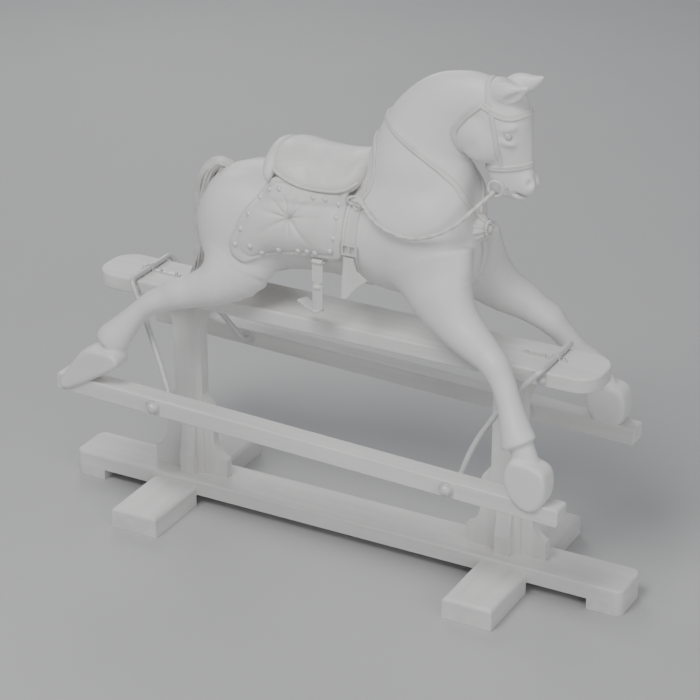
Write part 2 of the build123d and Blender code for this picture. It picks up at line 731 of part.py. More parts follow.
# --- Assembly --------------------------------------------------------------------------------
def build_stand():
    """Saves every piece that stands on the floor."""
    plank = base_plank()
    feet = {side: cross_foot(side * FOOT_X) for side in (-1, 1)}
    pads = end_pads()
    foot_screws = [screw_up(side * FOOT_X, y, PLANK_BOTTOM) for side in (-1, 1) for y in (-32, 32)]
    pad_x = PLANK_LENGTH / 2 - END_PAD_LENGTH / 2
    pad_screws = [screw_up(side * pad_x, y, PLANK_BOTTOM - 16) for side in (-1, 1) for y in (-28, 28)]
    for screw in foot_screws + pad_screws:
        plank -= screw
    for screw in pad_screws:
        pads -= screw
        pads -= Pos(0, 0, -20) * screw
    for side in (-1, 1):
        for screw in foot_screws:
            feet[side] -= screw
    bolts = side_bolts()
    rail = top_rail(bolts)
    straps = group([bearing_strap(side) for side in (-1, 1)])
    screws = strap_screws()
    for screw in screws:
        rail -= screw
        straps -= screw
    save("base_plank", plank)
    save("front_cross_foot", feet[1])
    save("rear_cross_foot", feet[-1])
    save("base_end_pads", pads)
    save("cross_foot_screws", group(foot_screws))
    save("end_pad_screws", group(pad_screws))
    save("front_post", post(POST_X))
    save("rear_post", post(-POST_X))
    for name, x in (("front", POST_X), ("rear", -POST_X)):
        save(f"{name}_post_wing_brackets", group([wing_bracket(x, side) for side in (-1, 1)]))
    corners = [(x, side) for x in (-POST_X, POST_X) for side in (-1, 1)]
    save("post_side_brackets", group([side_bracket(x, side) for x, side in corners]))
    save("post_head_corbels", group([head_corbel(x, side) for x, side in corners]))
    save("top_rail", rail)
    save("top_rail_cross_bolts", group(bolts))
    save("iron_bearing_straps", straps)
    save("bearing_strap_screws", group(screws))


def build_irons():
    """Saves both swing irons with their washers and cap nuts."""
    save("front_swing_iron", swing_iron(1, FRONT_HOLE, FRONT_BOW))
    save("rear_swing_iron", swing_iron(-1, REAR_HOLE, REAR_BOW))
    for name, hole in (("front", FRONT_HOLE), ("rear", REAR_HOLE)):
        save(f"{name}_iron_washers", iron_washers(hole))
        save(f"{name}_iron_cap_nuts", iron_caps(hole))


def build_horse():
    """Saves the hoof rails and the carved horse, and returns the solids that the tack lies on."""
    rail = hoof_rail()
    trunk = body()
    head = limb(HEAD) - eyes() - bit()
    neck = limb(NECK) - trunk - head
    peg = Pos(TAIL[0][0], 0, TAIL[0][2]) * Rot(0, -80, 0) * Cylinder(6, 44)
    upper = trunk & block(0, 0, BLOCK_JOINT_Z, 1200, 1400, 600)
    lower = trunk & block(0, 0, 0, BLOCK_JOINT_Z, 1400, 600)
    hangers = stirrup_hanger(trunk)
    hangers = [hangers, mirrored(hangers)]
    fore = carved_leg(FORE_LEG, hoof(FORE_HOOF, FORE_HOOF_TOP, FORE_HOOF_SOLE, rail), rail, [trunk, neck])
    hind = carved_leg(HIND_LEG, hoof(HIND_HOOF, HIND_HOOF_TOP, HIND_HOOF_SOLE, rail), rail, [trunk])
    for hanger in hangers:
        lower -= hanger
    save("left_hoof_rail", rail)
    save("right_hoof_rail", mirrored(rail))
    save("upper_body_block", upper - peg)
    save("lower_body_block", lower)
    save("neck_block", neck)
    save("head_block", head)
    save("ears", ears() - head)
    save("glass_eyes", eyes())
    save("left_fore_leg", fore)
    save("right_fore_leg", mirrored(fore))
    save("left_hind_leg", hind)
    save("right_hind_leg", mirrored(hind))
    save("tail_peg", peg)
    save("tail", limb(TAIL) - trunk - peg)
    save("stirrup_hangers", group(hangers))
    return trunk, neck, head, hind


def build_tack(trunk, neck, head, hind):
    """Saves the saddle, the girth, the breast strap and the bridle."""
    padded = body(grow=FLAP_THICKNESS)
    cantle = cantle_roll() - padded
    save("saddle_seat", saddle_seat() - padded - cantle - neck)
    save("saddle_cantle_roll", cantle)
    cloth = flap(trunk) - hind
    save("left_saddle_flap", cloth)
    save("right_saddle_flap", mirrored(cloth))
    save("saddle_studs", studs(cloth + hind))
    girth = band(body(grow=LEATHER_THICKNESS), (GIRTH_X, 0, 700), (1, 0, 0), GIRTH_WIDTH) - trunk
    save("girth_strap", girth - neck)
    save("girth_buckles", group([buckle(), mirrored(buckle())]))
    save("girth_ends", group([girth_end(), mirrored(girth_end())]))
    head_skin = limb(HEAD, grow=STRAP_GROW) - head
    wide_neck = limb(NECK, grow=STRAP_GROW) + body(grow=STRAP_GROW)
    strap = band(wide_neck, (206, 0, 886), (0.54, 0, 0.84), NECK_STRAP_WIDTH) - trunk - neck
    save("breast_strap", strap)
    save("chest_rosette", rosette() - body(grow=STRAP_GROW) - neck - strap)
    save("noseband", band(head_skin, (352, 0, 897), (-0.21, 0, 1), BRIDLE_WIDTH))
    brow = band(head_skin, (350, 0, 1006), (-0.05, 0, 1), BRIDLE_WIDTH) & block(400, 0, 900, 1100, 160, 200)
    save("browband", brow)
    crown = band(head_skin, (321, 0, 1040), (0.96, 0, 0.28), BRIDLE_WIDTH)
    crown &= block(300, 0, 1000, 1200, 300, 300)
    crown -= neck
    crown -= brow
    save("headpiece", crown)
    cheek = band(head_skin, (347, 0, 950), (1, 0, 0.05), BRIDLE_WIDTH - 2)
    cheek &= block(347, 0, 903, 998, 100, 300)
    save("cheek_straps", cheek - block(347, 0, 800, 1100, 200, 40))
    save("throat_lash", throat_lash() - head - neck - crown - brow)
    save("bit_and_rings", bit())
    save("left_rein", rein())
    save("right_rein", mirrored(rein()))


def build_stirrups():
    """Saves the two stirrup leathers and their irons."""
    leather = stirrup_leather()
    iron = stirrup_iron()
    save("left_stirrup_leather", leather)
    save("right_stirrup_leather", mirrored(leather))
    save("left_stirrup_iron", iron)
    save("right_stirrup_iron", mirrored(iron))


build_stand()
build_irons()
build_tack(*build_horse())
build_stirrups()
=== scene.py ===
import math
import random

import bpy
import numpy as np
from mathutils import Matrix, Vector


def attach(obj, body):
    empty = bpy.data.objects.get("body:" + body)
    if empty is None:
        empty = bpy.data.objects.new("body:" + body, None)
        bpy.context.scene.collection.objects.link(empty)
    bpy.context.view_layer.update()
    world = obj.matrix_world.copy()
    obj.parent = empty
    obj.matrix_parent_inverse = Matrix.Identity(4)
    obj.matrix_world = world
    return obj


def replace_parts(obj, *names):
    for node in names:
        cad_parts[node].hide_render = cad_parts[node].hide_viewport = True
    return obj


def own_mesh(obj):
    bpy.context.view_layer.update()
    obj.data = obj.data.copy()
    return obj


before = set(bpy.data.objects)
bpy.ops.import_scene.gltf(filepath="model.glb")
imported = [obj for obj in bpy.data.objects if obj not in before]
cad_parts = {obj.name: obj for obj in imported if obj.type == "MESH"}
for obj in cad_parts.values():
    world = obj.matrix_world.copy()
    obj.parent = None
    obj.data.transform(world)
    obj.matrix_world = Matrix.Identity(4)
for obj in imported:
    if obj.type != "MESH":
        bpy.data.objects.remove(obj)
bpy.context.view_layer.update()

# Lengths in this file are millimetres until a mesh is made; the frame is in metres.
MM = 0.001
FAR = 60.0
CELL = 3.0
SCULPT_LOW = (-580.0, 0.0, 250.0)
SCULPT_HIGH = (570.0, 240.0, 1100.0)

# --- The horse's build: sections along each limb -------------------------------------------
# Each row is (x, y, z, half depth along the limb's own plane, half width across it).
TRUNK = (
    (-318, 0, 690, 26, 22),
    (-300, 0, 688, 76, 58),
    (-262, 0, 682, 100, 88),
    (-195, 0, 688, 112, 104),
    (-115, 0, 698, 108, 108),
    (-30, 0, 703, 102, 110),
    (60, 0, 708, 110, 110),
    (140, 0, 716, 130, 107),
    (212, 0, 726, 133, 97),
    (258, 0, 732, 110, 78),
    (290, 0, 740, 60, 42),
)
NECK = (
    (162, 0, 770, 124, 92),
    (168, 0, 850, 112, 76),
    (177, 0, 905, 96, 58),
    (200, 0, 950, 86, 48),
    (236, 0, 986, 76, 42),
    (276, 0, 1008, 60, 38),
    (308, 0, 1016, 48, 34),
)
HEAD = (
    (326, 0, 1048, 24, 25),
    (331, 0, 1024, 50, 38),
    (336, 0, 990, 62, 43),
    (342, 0, 955, 58, 40),
    (351, 0, 918, 49, 32),
    (356, 0, 890, 47, 27),
    (362, 0, 868, 48, 25),
    (370, 0, 848, 38, 21),
)
FORE_LEG = (
    (225, 62, 690, 92, 46),
    (256, 82, 632, 70, 50),
    (300, 100, 588, 49, 44),
    (347, 115, 561, 38, 37),
    (392, 124, 531, 28, 30),
    (421, 140, 497, 24, 25),
    (443, 156, 461, 25, 25),
    (462, 173, 431, 31, 29),
    (475, 184, 409, 37, 32),
    (482, 187, 398, 38, 32),
)
FORE_LEG_END = ((477, 186, 408), (0.5, 0.1, -0.87))
FORE_PASTERN = (
    (470, 182, 418, 27, 22),
    (486, 188, 396, 25, 22),
    (500, 194, 370, 25, 22),
)
HIND_LEG = (
    (-196, 52, 664, 84, 44),
    (-206, 78, 604, 76, 50),
    (-240, 100, 564, 50, 47),
    (-282, 113, 544, 37, 38),
    (-330, 126, 525, 29, 31),
    (-371, 139, 508, 25, 27),
    (-401, 151, 484, 22, 23),
    (-427, 166, 452, 28, 26),
    (-446, 178, 427, 35, 30),
    (-454, 183, 415, 35, 30),
)
HIND_PASTERN = (
    (-450, 182, 412, 17, 16),
    (-466, 188, 395, 18, 17),
    (-482, 194, 375, 20, 18),
)
# Each hoof is a flat-sided block with this outline in X and Z, going round clockwise.
FORE_HOOF = (
    (470, 388),
    (520, 386),
    (542, 376),
    (550, 354),
    (549, 322),
    (541, 299),
    (526, 284),
    (505, 281),
    (484, 291),
    (466, 312),
    (456, 338),
    (457, 362),
)
HIND_HOOF = (
    (-482, 410),
    (-424, 408),
    (-412, 392),
    (-418, 374),
    (-436, 361),
    (-543, 300),
    (-562, 298),
    (-567, 316),
    (-536, 364),
    (-505, 402),
)
HOOF_INNER_Y = 171.0
HOOF_OUTER_Y = 223.0
HOOF_ROUNDING = 11.0
# Each muscle is (centre, half sizes, tilt about Y in degrees, blend).
MUSCLES = (
    ((-214, 62, 680), (86, 48, 96), 12, 34),
    ((208, 66, 716), (64, 44, 96), -14, 32),
    ((246, 38, 792), (42, 32, 60), 10, 26),
    ((308, 24, 946), (52, 22, 50), 0, 6),
    ((362, 31, 976), (20, 11, 8), 16, 7),
    ((362, 33, 949), (19, 8, 6), -10, 9),
    ((372, 0, 944), (26, 12, 62), 8, 16),
    ((395, 12, 864), (21, 13, 22), 0, 7),
    ((391, 0, 852), (22, 20, 19), 0, 8),
    ((352, 0, 840), (32, 16, 12), -8, 8),
    ((377, 0, 836), (18, 16, 11), -10, 6),
    ((398, 133, 532), (23, 23, 27), 30, 14),
    ((-318, 128, 536), (34, 24, 24), 0, 18),
)
# Each hollow is (centre, half sizes, tilt about Y in degrees, blend).
HOLLOWS = (
    ((368, 47, 962), (15, 12, 9), 8, 4),
    ((408, 20, 870), (7, 7, 9), -20, 4),
    ((390, 0, 840), (26, 40, 1.9), -17, 2.0),
    ((276, 58, 908), (22, 20, 46), -30, 14),
    ((304, 0, 690), (26, 6, 60), 0, 14),
)
EYE = (366, 33.5, 962)
EYE_RADIUS = 8.5
EAR = (
    (334, 26, 1034, 16, 12),
    (352, 30, 1044, 21, 14),
    (372, 33, 1048, 20, 13),
    (391, 34, 1056, 11, 9),
    (408, 34, 1067, 2.4, 2.4),
)
EAR_HOLLOW = (
    (362, 46, 1031, 9, 10),
    (380, 46, 1041, 11, 10),
    (397, 43, 1056, 5, 6),
)


def resample(rows, count):
    """Evenly spaced rows on a Catmull-Rom curve through the given rows."""
    rows = np.asarray(rows, float)
    padded = np.vstack((2 * rows[0] - rows[1], rows, 2 * rows[-1] - rows[-2]))
    last = len(rows) - 2
    out = []
    for step in np.linspace(0, last + 1, count):
        first = min(int(step), last)
        t = step - first
        a, b, c, d = padded[first:first + 4]
        curve = (2 * a - 5 * b + 4 * c - d) * t**2 + (3 * b - a - 3 * c + d) * t**3
        out.append(0.5 * (2 * b + (c - a) * t + curve))
    return np.array(out)


def unit(vectors):
    """Each row scaled to length one."""
    return vectors / np.maximum(np.linalg.norm(vectors, axis=-1, keepdims=True), 1e-9)


class Sculpt:
    """Distance to the carved surface on a grid over the horse's left half; negative inside."""

    def __init__(self):
        low, high = np.array(SCULPT_LOW), np.array(SCULPT_HIGH)
        counts = np.ceil((high - low) / CELL).astype(int) + 1
        self.low = low
        self.axes = [low[i] + CELL * np.arange(counts[i]) for i in range(3)]
        self.value = np.full(counts, FAR, np.float32)

    def window(self, low, high):
        """Grid slices that cover a box, and the coordinates inside them."""
        slices = []
        for i in range(3):
            first = int(np.clip(np.floor((low[i] - self.low[i]) / CELL), 0, len(self.axes[i]) - 1))
            last = int(np.clip(np.ceil((high[i] - self.low[i]) / CELL) + 1, first + 1, len(self.axes[i])))
            slices.append(slice(first, last))
        x, y, z = (self.axes[i][slices[i]] for i in range(3))
        return tuple(slices), x[:, None, None], y[None, :, None], z[None, None, :]

    def blank(self):
        return np.full_like(self.value, FAR)

    def limb(self, rows, fine, cap=0.6):
        """Distance to a limb of elliptical sections."""
        rows = resample(rows, fine)
        shape = self.blank()
        for start, end in zip(rows, rows[1:]):
            reach = max(start[3:].max(), end[3:].max()) + 0.6 * FAR
            low = np.minimum(start[:3], end[:3]) - reach
            high = np.maximum(start[:3], end[:3]) + reach
            window, x, y, z = self.window(low, high)
            shape[window] = np.minimum(shape[window], segment(start, end, cap, x, y, z))
        return shape

    def ball(self, centre, half, tilt):
        """Distance to an ellipsoid turned about Y."""
        shape = self.blank()
        reach = max(half) + 0.6 * FAR
        window, x, y, z = self.window(np.array(centre) - reach, np.array(centre) + reach)
        x, y, z = x - centre[0], y - centre[1], z - centre[2]
        turn = math.radians(tilt)
        u = x * math.cos(turn) + z * math.sin(turn)
        w = z * math.cos(turn) - x * math.sin(turn)
        parts = [(a / b)**2 for a, b in zip((u, y, w), half)]
        ratio = np.sqrt(parts[0] + parts[1] + parts[2])
        size = np.sqrt(u**2 + y**2 + w**2)
        shape[window] = size - size / np.maximum(ratio, 1e-3)
        return shape

    def add(self, shape, blend):
        """Joins a shape on, with a fillet about as wide as blend."""
        mix = np.clip(0.5 + 0.5 * (self.value - shape) / blend, 0, 1)
        self.value = self.value + (shape - self.value) * mix - blend * mix * (1 - mix)

    def cut(self, shape, blend):
        """Takes a shape away, with rounded edges."""
        mix = np.clip(0.5 - 0.5 * (self.value + shape) / blend, 0, 1)
        self.value = self.value + (-shape - self.value) * mix + blend * mix * (1 - mix)

    def slab(self, outline, low_y, high_y, rounding):
        """Distance to a rounded slab with a clockwise convex outline in X and Z."""
        shape = self.beyond((0, low_y, 0), (0, -1, 0))
        planes = [self.beyond((0, high_y, 0), (0, 1, 0))]
        for (x, z), (next_x, next_z) in zip(outline, outline[1:] + outline[:1]):
            out = unit(np.array((z - next_z, 0.0, next_x - x)))
            planes.append(self.beyond((x, 0, z), out))
        for plane in planes:
            mix = np.clip(0.5 + 0.5 * (plane - shape) / rounding, 0, 1)
            shape = shape + (plane - shape) * mix + rounding * mix * (1 - mix)
        return shape.astype(np.float32)

    def beyond(self, point, direction):
        """Distance past a plane, at every grid point."""
        gaps = [(axis - start) * part for axis, start, part in zip(self.axes, point, direction)]
        return gaps[0][:, None, None] + gaps[1][None, :, None] + gaps[2][None, None, :]

    def soften(self):
        """Evens out the field over neighbouring grid points."""
        for axis in range(3):
            middle = [slice(None)] * 3
            before = [slice(None)] * 3
            after = [slice(None)] * 3
            middle[axis], before[axis], after[axis] = slice(1, -1), slice(0, -2), slice(2, None)
            value = self.value
            value[tuple(middle)] = (value[tuple(before)] + 2 * value[tuple(middle)] + value[tuple(after)]) / 4

    def sample(self, points):
        """Distance at each point, on either side of the middle plane."""
        place = (np.abs(points * (0, 1, 0)) + points * (1, 0, 1) - self.low) / CELL
        place = np.clip(place, 0, np.array(self.value.shape) - 1.001)
        base = place.astype(int)
        share = place - base
        total = np.zeros(len(points))
        for i in (0, 1):
            for j in (0, 1):
                for k in (0, 1):
                    weight = (share[:, 0] if i else 1 - share[:, 0])
                    weight = weight * (share[:, 1] if j else 1 - share[:, 1])
                    weight = weight * (share[:, 2] if k else 1 - share[:, 2])
                    total += weight * self.value[base[:, 0] + i, base[:, 1] + j, base[:, 2] + k]
        return total

    def slope(self, points):
        """Outward direction at each point."""
        out = np.zeros_like(points)
        for axis in range(3):
            step = np.zeros(3)
            step[axis] = CELL
            out[:, axis] = self.sample(points + step) - self.sample(points - step)
        return unit(out)

    def snap(self, points, lift):
        """The points moved on to the carved surface, lift above it, and the directions outwards."""
        points = np.array(points, float)
        for _ in range(10):
            move = np.clip(self.sample(points) - lift, -12, 12)
            points = points - 0.8 * move[:, None] * self.slope(points)
        return points, self.slope(points)

    def march(self, origins, directions, reach, step=1.5):
        """Where each ray first passes through the carved surface."""
        far = np.arange(0, reach, step)
        points = origins[:, None, :] + directions[:, None, :] * far[None, :, None]
        value = self.sample(points.reshape(-1, 3)).reshape(len(origins), len(far))
        change = (value[:, :-1] < 0) != (value[:, 1:] < 0)
        first = change.argmax(axis=1)
        rows = np.arange(len(origins))
        a, b = value[rows, first], value[rows, first + 1]
        share = np.clip(a / np.where(a == b, 1, a - b), 0, 1)
        return origins + directions * (far[first] + step * share)[:, None]

    def skin(self):
        """Vertices and quads on the surface of both halves, by surface nets."""
        value = np.concatenate((self.value[:, :0:-1, :], self.value), axis=1)
        low = self.low * (1, 0, 1) - (0, CELL * (self.value.shape[1] - 1), 0)
        inside = value < 0
        size = np.array(value.shape) - 1
        corners = [(i, j, k) for i in (0, 1) for j in (0, 1) for k in (0, 1)]
        count = np.zeros(size, np.int8)
        for i, j, k in corners:
            count += inside[i:i + size[0], j:j + size[1], k:k + size[2]]
        active = (count > 0) & (count < 8)
        cells = np.argwhere(active)
        index = np.full(size, -1, np.int32)
        index[active] = np.arange(len(cells))
        place, hits = np.zeros((len(cells), 3)), np.zeros(len(cells))
        for corner in corners:
            for axis in range(3):
                if corner[axis]:
                    continue
                step = np.zeros(3, int)
                step[axis] = 1
                near, far = cells + corner, cells + corner + step
                a, b = value[tuple(near.T)], value[tuple(far.T)]
                hit = (a < 0) != (b < 0)
                share = a[hit] / (a[hit] - b[hit])
                place[hit] += np.array(corner) + share[:, None] * step
                hits[hit] += 1
        points = low + CELL * (cells + place / hits[:, None])
        return points, np.concatenate([net_faces(inside, index, axis) for axis in range(3)])


def segment(start, end, cap, x, y, z):
    """Distance to one tapered elliptical segment, at every grid point of a window."""
    axis = end[:3] - start[:3]
    length = np.linalg.norm(axis)
    along = axis / length
    across = unit(np.array((0, 1, 0)) - along * along[1])
    plane = np.cross(along, across)
    x, y, z = x - start[0], y - start[1], z - start[2]
    run = x * along[0] + y * along[1] + z * along[2]
    share = np.clip(run / length, 0, 1)
    over = run - share * length
    u = x * plane[0] + y * plane[1] + z * plane[2]
    v = x * across[0] + y * across[1] + z * across[2]
    half_u = start[3] + (end[3] - start[3]) * share
    half_v = start[4] + (end[4] - start[4]) * share
    half_w = cap * np.minimum(half_u, half_v)
    ratio = np.sqrt((u / half_u)**2 + (v / half_v)**2 + (over / half_w)**2)
    size = np.sqrt(u**2 + v**2 + over**2)
    return size - size / np.maximum(ratio, 1e-3)


def net_faces(inside, index, axis):
    """Quads across the grid edges that run along one axis and pass through the surface."""
    p, q = (axis + 1) % 3, (axis + 2) % 3
    lower = np.take(inside, range(inside.shape[axis] - 1), axis)
    upper = np.take(inside, range(1, inside.shape[axis]), axis)
    spots = np.argwhere(lower != upper)
    size = np.array(index.shape)
    fits = (spots[:, p] > 0) & (spots[:, q] > 0) & (spots[:, p] < size[p]) & (spots[:, q] < size[q])
    spots = spots[fits]
    ring = []
    for back_p, back_q in ((1, 1), (0, 1), (0, 0), (1, 0)):
        cell = spots.copy()
        cell[:, p] -= back_p
        cell[:, q] -= back_q
        ring.append(index[tuple(cell.T)])
    quads = np.stack(ring, axis=1)
    outward = lower[tuple(spots.T)]
    quads[~outward] = quads[~outward][:, ::-1]
    return quads


def carve_horse():
    """The whole carved horse as one distance field."""
    sculpt = Sculpt()
    sculpt.add(sculpt.limb(TRUNK, 40, cap=0.25), 1.0)
    sculpt.add(sculpt.limb(NECK, 36), 26.0)
    fore_leg = sculpt.limb(FORE_LEG, 26, cap=0.3)
    sculpt.add(np.maximum(fore_leg, sculpt.beyond(*FORE_LEG_END)), 24.0)
    sculpt.add(sculpt.limb(HIND_LEG, 28, cap=0.4), 24.0)
    sculpt.add(sculpt.limb(HEAD, 22), 12.0)
    for centre, half, tilt, blend in MUSCLES:
        sculpt.add(sculpt.ball(centre, half, tilt), blend)
    for centre, half, tilt, blend in HOLLOWS:
        sculpt.cut(sculpt.ball(centre, half, tilt), blend)
    ear = sculpt.limb(EAR, 12)
    hollow = sculpt.limb(EAR_HOLLOW, 8)
    sculpt.add(np.maximum(ear, -hollow), 5.0)
    for rows in (FORE_PASTERN, HIND_PASTERN):
        sculpt.add(sculpt.limb(rows, 8), 3.0)
    for outline in (FORE_HOOF, HIND_HOOF):
        sculpt.add(sculpt.slab(outline, HOOF_INNER_Y, HOOF_OUTER_Y, HOOF_ROUNDING), 3.0)
    sculpt.soften()
    return sculpt


# --- Making meshes ---------------------------------------------------------------------------
class Maker:
    """Collects vertices and faces, in millimetres, and turns them into one object."""

    def __init__(self):
        self.points = []
        self.faces = []

    def add(self, points, faces):
        base = len(self.points)
        self.points.extend(np.asarray(points, float).tolist())
        self.faces.extend([tuple(base + i for i in face) for face in faces])

    def mirrored(self):
        """Adds the same shape on the other side of the middle plane."""
        points = [(x, -y, z) for x, y, z in self.points]
        faces = [face[::-1] for face in self.faces]
        self.add(points, faces)
        return self

    def make(self, name, material, body="horse"):
        return make_object(name, np.array(self.points), self.faces, material, body)


def make_object(name, points, faces, material, body="horse"):
    """One smooth-shaded mesh object that rides on a body."""
    mesh = bpy.data.meshes.new(name)
    mesh.from_pydata((points * MM).tolist(), [], [list(map(int, face)) for face in faces])
    mesh.polygons.foreach_set("use_smooth", [True] * len(mesh.polygons))
    mesh.update()
    piece = bpy.data.objects.new(name, mesh)
    bpy.context.scene.collection.objects.link(piece)
    piece.data.materials.append(material)
    if body:
        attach(piece, body)
    return piece


def rings_to_faces(rings, sides, closed, caps=True):
    """Quads between rings of points, with end caps when the run is open."""
    faces = []
    for i in range(rings if closed else rings - 1):
        j = (i + 1) % rings
        for k in range(sides):
            m = (k + 1) % sides
            faces.append((i * sides + k, i * sides + m, j * sides + m, j * sides + k))
    if caps and not closed:
        faces.append(tuple(range(sides))[::-1])
        faces.append(tuple((rings - 1) * sides + k for k in range(sides)))
    return faces


def tangents(path, closed):
    """Direction of travel at each point of a path."""
    if closed:
        return unit(np.roll(path, -1, axis=0) - np.roll(path, 1, axis=0))
    return unit(np.gradient(path, axis=0))


def ribbon(maker, path, normals, profile, closed=False):
    """Sweeps a profile of (across, up) pairs along a path that lies on a surface."""
    run = tangents(path, closed)
    across = unit(np.cross(normals, run))
    points = []
    for centre, side, up in zip(path, across, normals):
        points.extend(centre + side * a + up * b for a, b in profile)
    maker.add(points, rings_to_faces(len(path), len(profile), closed))


def strap_profile(width, thickness):
    """Leather strap with rounded, slightly raised edges."""
    half, lip = width / 2, thickness * 0.5
    return (
        (-half, -1.0),
        (-half - 0.3, thickness * 0.5),
        (-half + lip, thickness),
        (-half + 2 * lip, thickness * 0.86),
        (half - 2 * lip, thickness * 0.86),
        (half - lip, thickness),
        (half + 0.3, thickness * 0.5),
        (half, -1.0),
    )


def flat_profile(width, thickness):
    """Plain flat bar."""
    half, lift = width / 2, thickness / 2
    return ((-half, -lift), (-half, lift), (half, lift), (half, -lift))


def tube(maker, path, radius, sides=10, closed=False, lobes=0, twist=0.0):
    """Round cord along a path; lobes and twist turn it into laid rope."""
    run = tangents(path, closed)
    normal = unit(np.cross(run[0], (0.31, 0.22, 0.93)))
    radius = np.broadcast_to(radius, len(path))
    points = []
    for index, (centre, along) in enumerate(zip(path, run)):
        normal = unit(normal - along * np.dot(normal, along))
        side = np.cross(along, normal)
        for k in range(sides):
            angle = 2 * math.pi * k / sides
            size = radius[index]
            if lobes:
                size = size * (1 + 0.16 * math.cos(lobes * angle + twist * index))
            points.append(centre + size * (normal * math.cos(angle) + side * math.sin(angle)))
    maker.add(points, rings_to_faces(len(path), sides, closed))


def dome(maker, centre, up, radius, height, sides=14, rows=4):
    """Domed stud head standing on a surface."""
    up = unit(np.array(up, float))
    side = unit(np.cross(up, (0.2, 0.3, 0.93)))
    other = np.cross(up, side)
    points = []
    for row in range(rows):
        angle = math.pi / 2 * row / rows
        for k in range(sides):
            turn = 2 * math.pi * k / sides
            flat = radius * math.cos(angle) * (side * math.cos(turn) + other * math.sin(turn))
            points.append(centre + flat + up * height * math.sin(angle))
    points.append(centre + up * height)
    faces = rings_to_faces(rows, sides, False, caps=False)
    top = (rows - 1) * sides
    faces += [(top + k, top + (k + 1) % sides, rows * sides) for k in range(sides)]
    maker.add(points, faces)


# --- Materials -------------------------------------------------------------------------------
class Nodes:
    """Short names for building a node material."""

    def __init__(self, name):
        self.material = bpy.data.materials.new(name)
        self.material.use_nodes = True
        self.tree = self.material.node_tree
        self.shader = self.tree.nodes["Principled BSDF"]
        self.place = self.tree.nodes.new("ShaderNodeTexCoord").outputs["Object"]

    def node(self, kind, inputs=None, **settings):
        made = self.tree.nodes.new(kind)
        for key, value in settings.items():
            setattr(made, key, value)
        for key, value in (inputs or {}).items():
            if isinstance(value, bpy.types.NodeSocket):
                self.tree.links.new(value, made.inputs[key])
            else:
                made.inputs[key].default_value = value
        return made

    def stretched(self, scale):
        """Texture space squeezed or stretched along each axis."""
        return self.node("ShaderNodeMapping", {"Vector": self.place, "Scale": scale}).outputs["Vector"]

    def noise(self, space, scale, detail=4.0, rough=0.55):
        inputs = {"Vector": space, "Scale": scale, "Detail": detail, "Roughness": rough}
        return self.node("ShaderNodeTexNoise", inputs).outputs["Fac"]

    def ramp(self, value, low, high, start=0.35, end=0.65):
        """Grey or coloured ramp from low to high between two values."""
        made = self.node("ShaderNodeValToRGB", {"Fac": value})
        first, second = made.color_ramp.elements
        first.position, second.position = start, end
        first.color = (*low, 1.0) if len(low) == 3 else low
        second.color = (*high, 1.0) if len(high) == 3 else high
        return made.outputs["Color"]

    def bump(self, height, strength, distance, after=None):
        inputs = {"Height": height, "Strength": strength, "Distance": distance}
        if after is not None:
            inputs["Normal"] = after
        return self.node("ShaderNodeBump", inputs).outputs["Normal"]

    def feed(self, **sockets):
        """Connects or sets the shader's own inputs."""
        for key, value in sockets.items():
            target = self.shader.inputs[key.replace("_", " ")]
            if isinstance(value, bpy.types.NodeSocket):
                self.tree.links.new(value, target)
            else:
                target.default_value = value


def shade(colour, factor):
    return tuple(min(1.0, c * factor) for c in colour)


def timber(name, colour, grain):
    """Painted timber whose grain shows faintly through, running along one axis."""
    n = Nodes(name)
    scale = [1.0, 1.0, 1.0]
    scale["XYZ".index(grain)] = 0.07
    space = n.stretched(scale)
    streaks = n.noise(space, 150.0, 6.0, 0.65)
    rings = n.noise(space, 38.0, 3.0, 0.5)
    brush = n.noise(n.place, 14.0, 3.0)
    base = n.ramp(rings, shade(colour, 0.93), shade(colour, 1.03))
    worn = n.ramp(brush, (0.0, 0.0, 0.0), (0.35, 0.35, 0.35), 0.5, 0.75)
    mix = n.node("ShaderNodeMixRGB", {"Fac": worn, "Color1": base, "Color2": (*shade(colour, 0.88), 1.0)})
    rough = n.ramp(streaks, (0.5, 0.5, 0.5), (0.68, 0.68, 0.68))
    first = n.bump(streaks, 0.35, 0.0006)
    n.feed(Base_Color=mix.outputs["Color"], Roughness=rough, Normal=n.bump(rings, 0.3, 0.0012, first))
    return n.material


def carved_paint(name, colour):
    """Gesso and eggshell paint over carving: faint tool flats, brush drag and rubbed patches."""
    n = Nodes(name)
    flats = n.noise(n.place, 26.0, 2.0, 0.4)
    brush = n.noise(n.stretched((1.0, 1.0, 0.22)), 130.0, 5.0, 0.6)
    rubbed = n.noise(n.place, 6.0, 5.0, 0.6)
    base = n.ramp(rubbed, shade(colour, 0.955), shade(colour, 1.02), 0.38, 0.62)
    rough = n.ramp(brush, (0.40, 0.40, 0.40), (0.56, 0.56, 0.56))
    first = n.bump(flats, 0.16, 0.003)
    n.feed(Base_Color=base, Roughness=rough, Normal=n.bump(brush, 0.22, 0.0004, first))
    return n.material


def leather(name, colour, grain=420.0, rough=(0.42, 0.6)):
    """Leather: small pebbled cells, soft creasing and slight polish where it is handled."""
    n = Nodes(name)
    cells = n.node("ShaderNodeTexVoronoi", {"Vector": n.place, "Scale": grain})
    creases = n.noise(n.place, 55.0, 5.0, 0.6)
    patches = n.noise(n.place, 12.0, 3.0)
    base = n.ramp(patches, shade(colour, 0.92), shade(colour, 1.04))
    low, high = rough
    gloss = n.ramp(creases, (low, low, low), (high, high, high))
    first = n.bump(cells.outputs["Distance"], 0.28, 0.0004)
    n.feed(Base_Color=base, Roughness=gloss, Normal=n.bump(creases, 0.3, 0.0012, first))
    return n.material


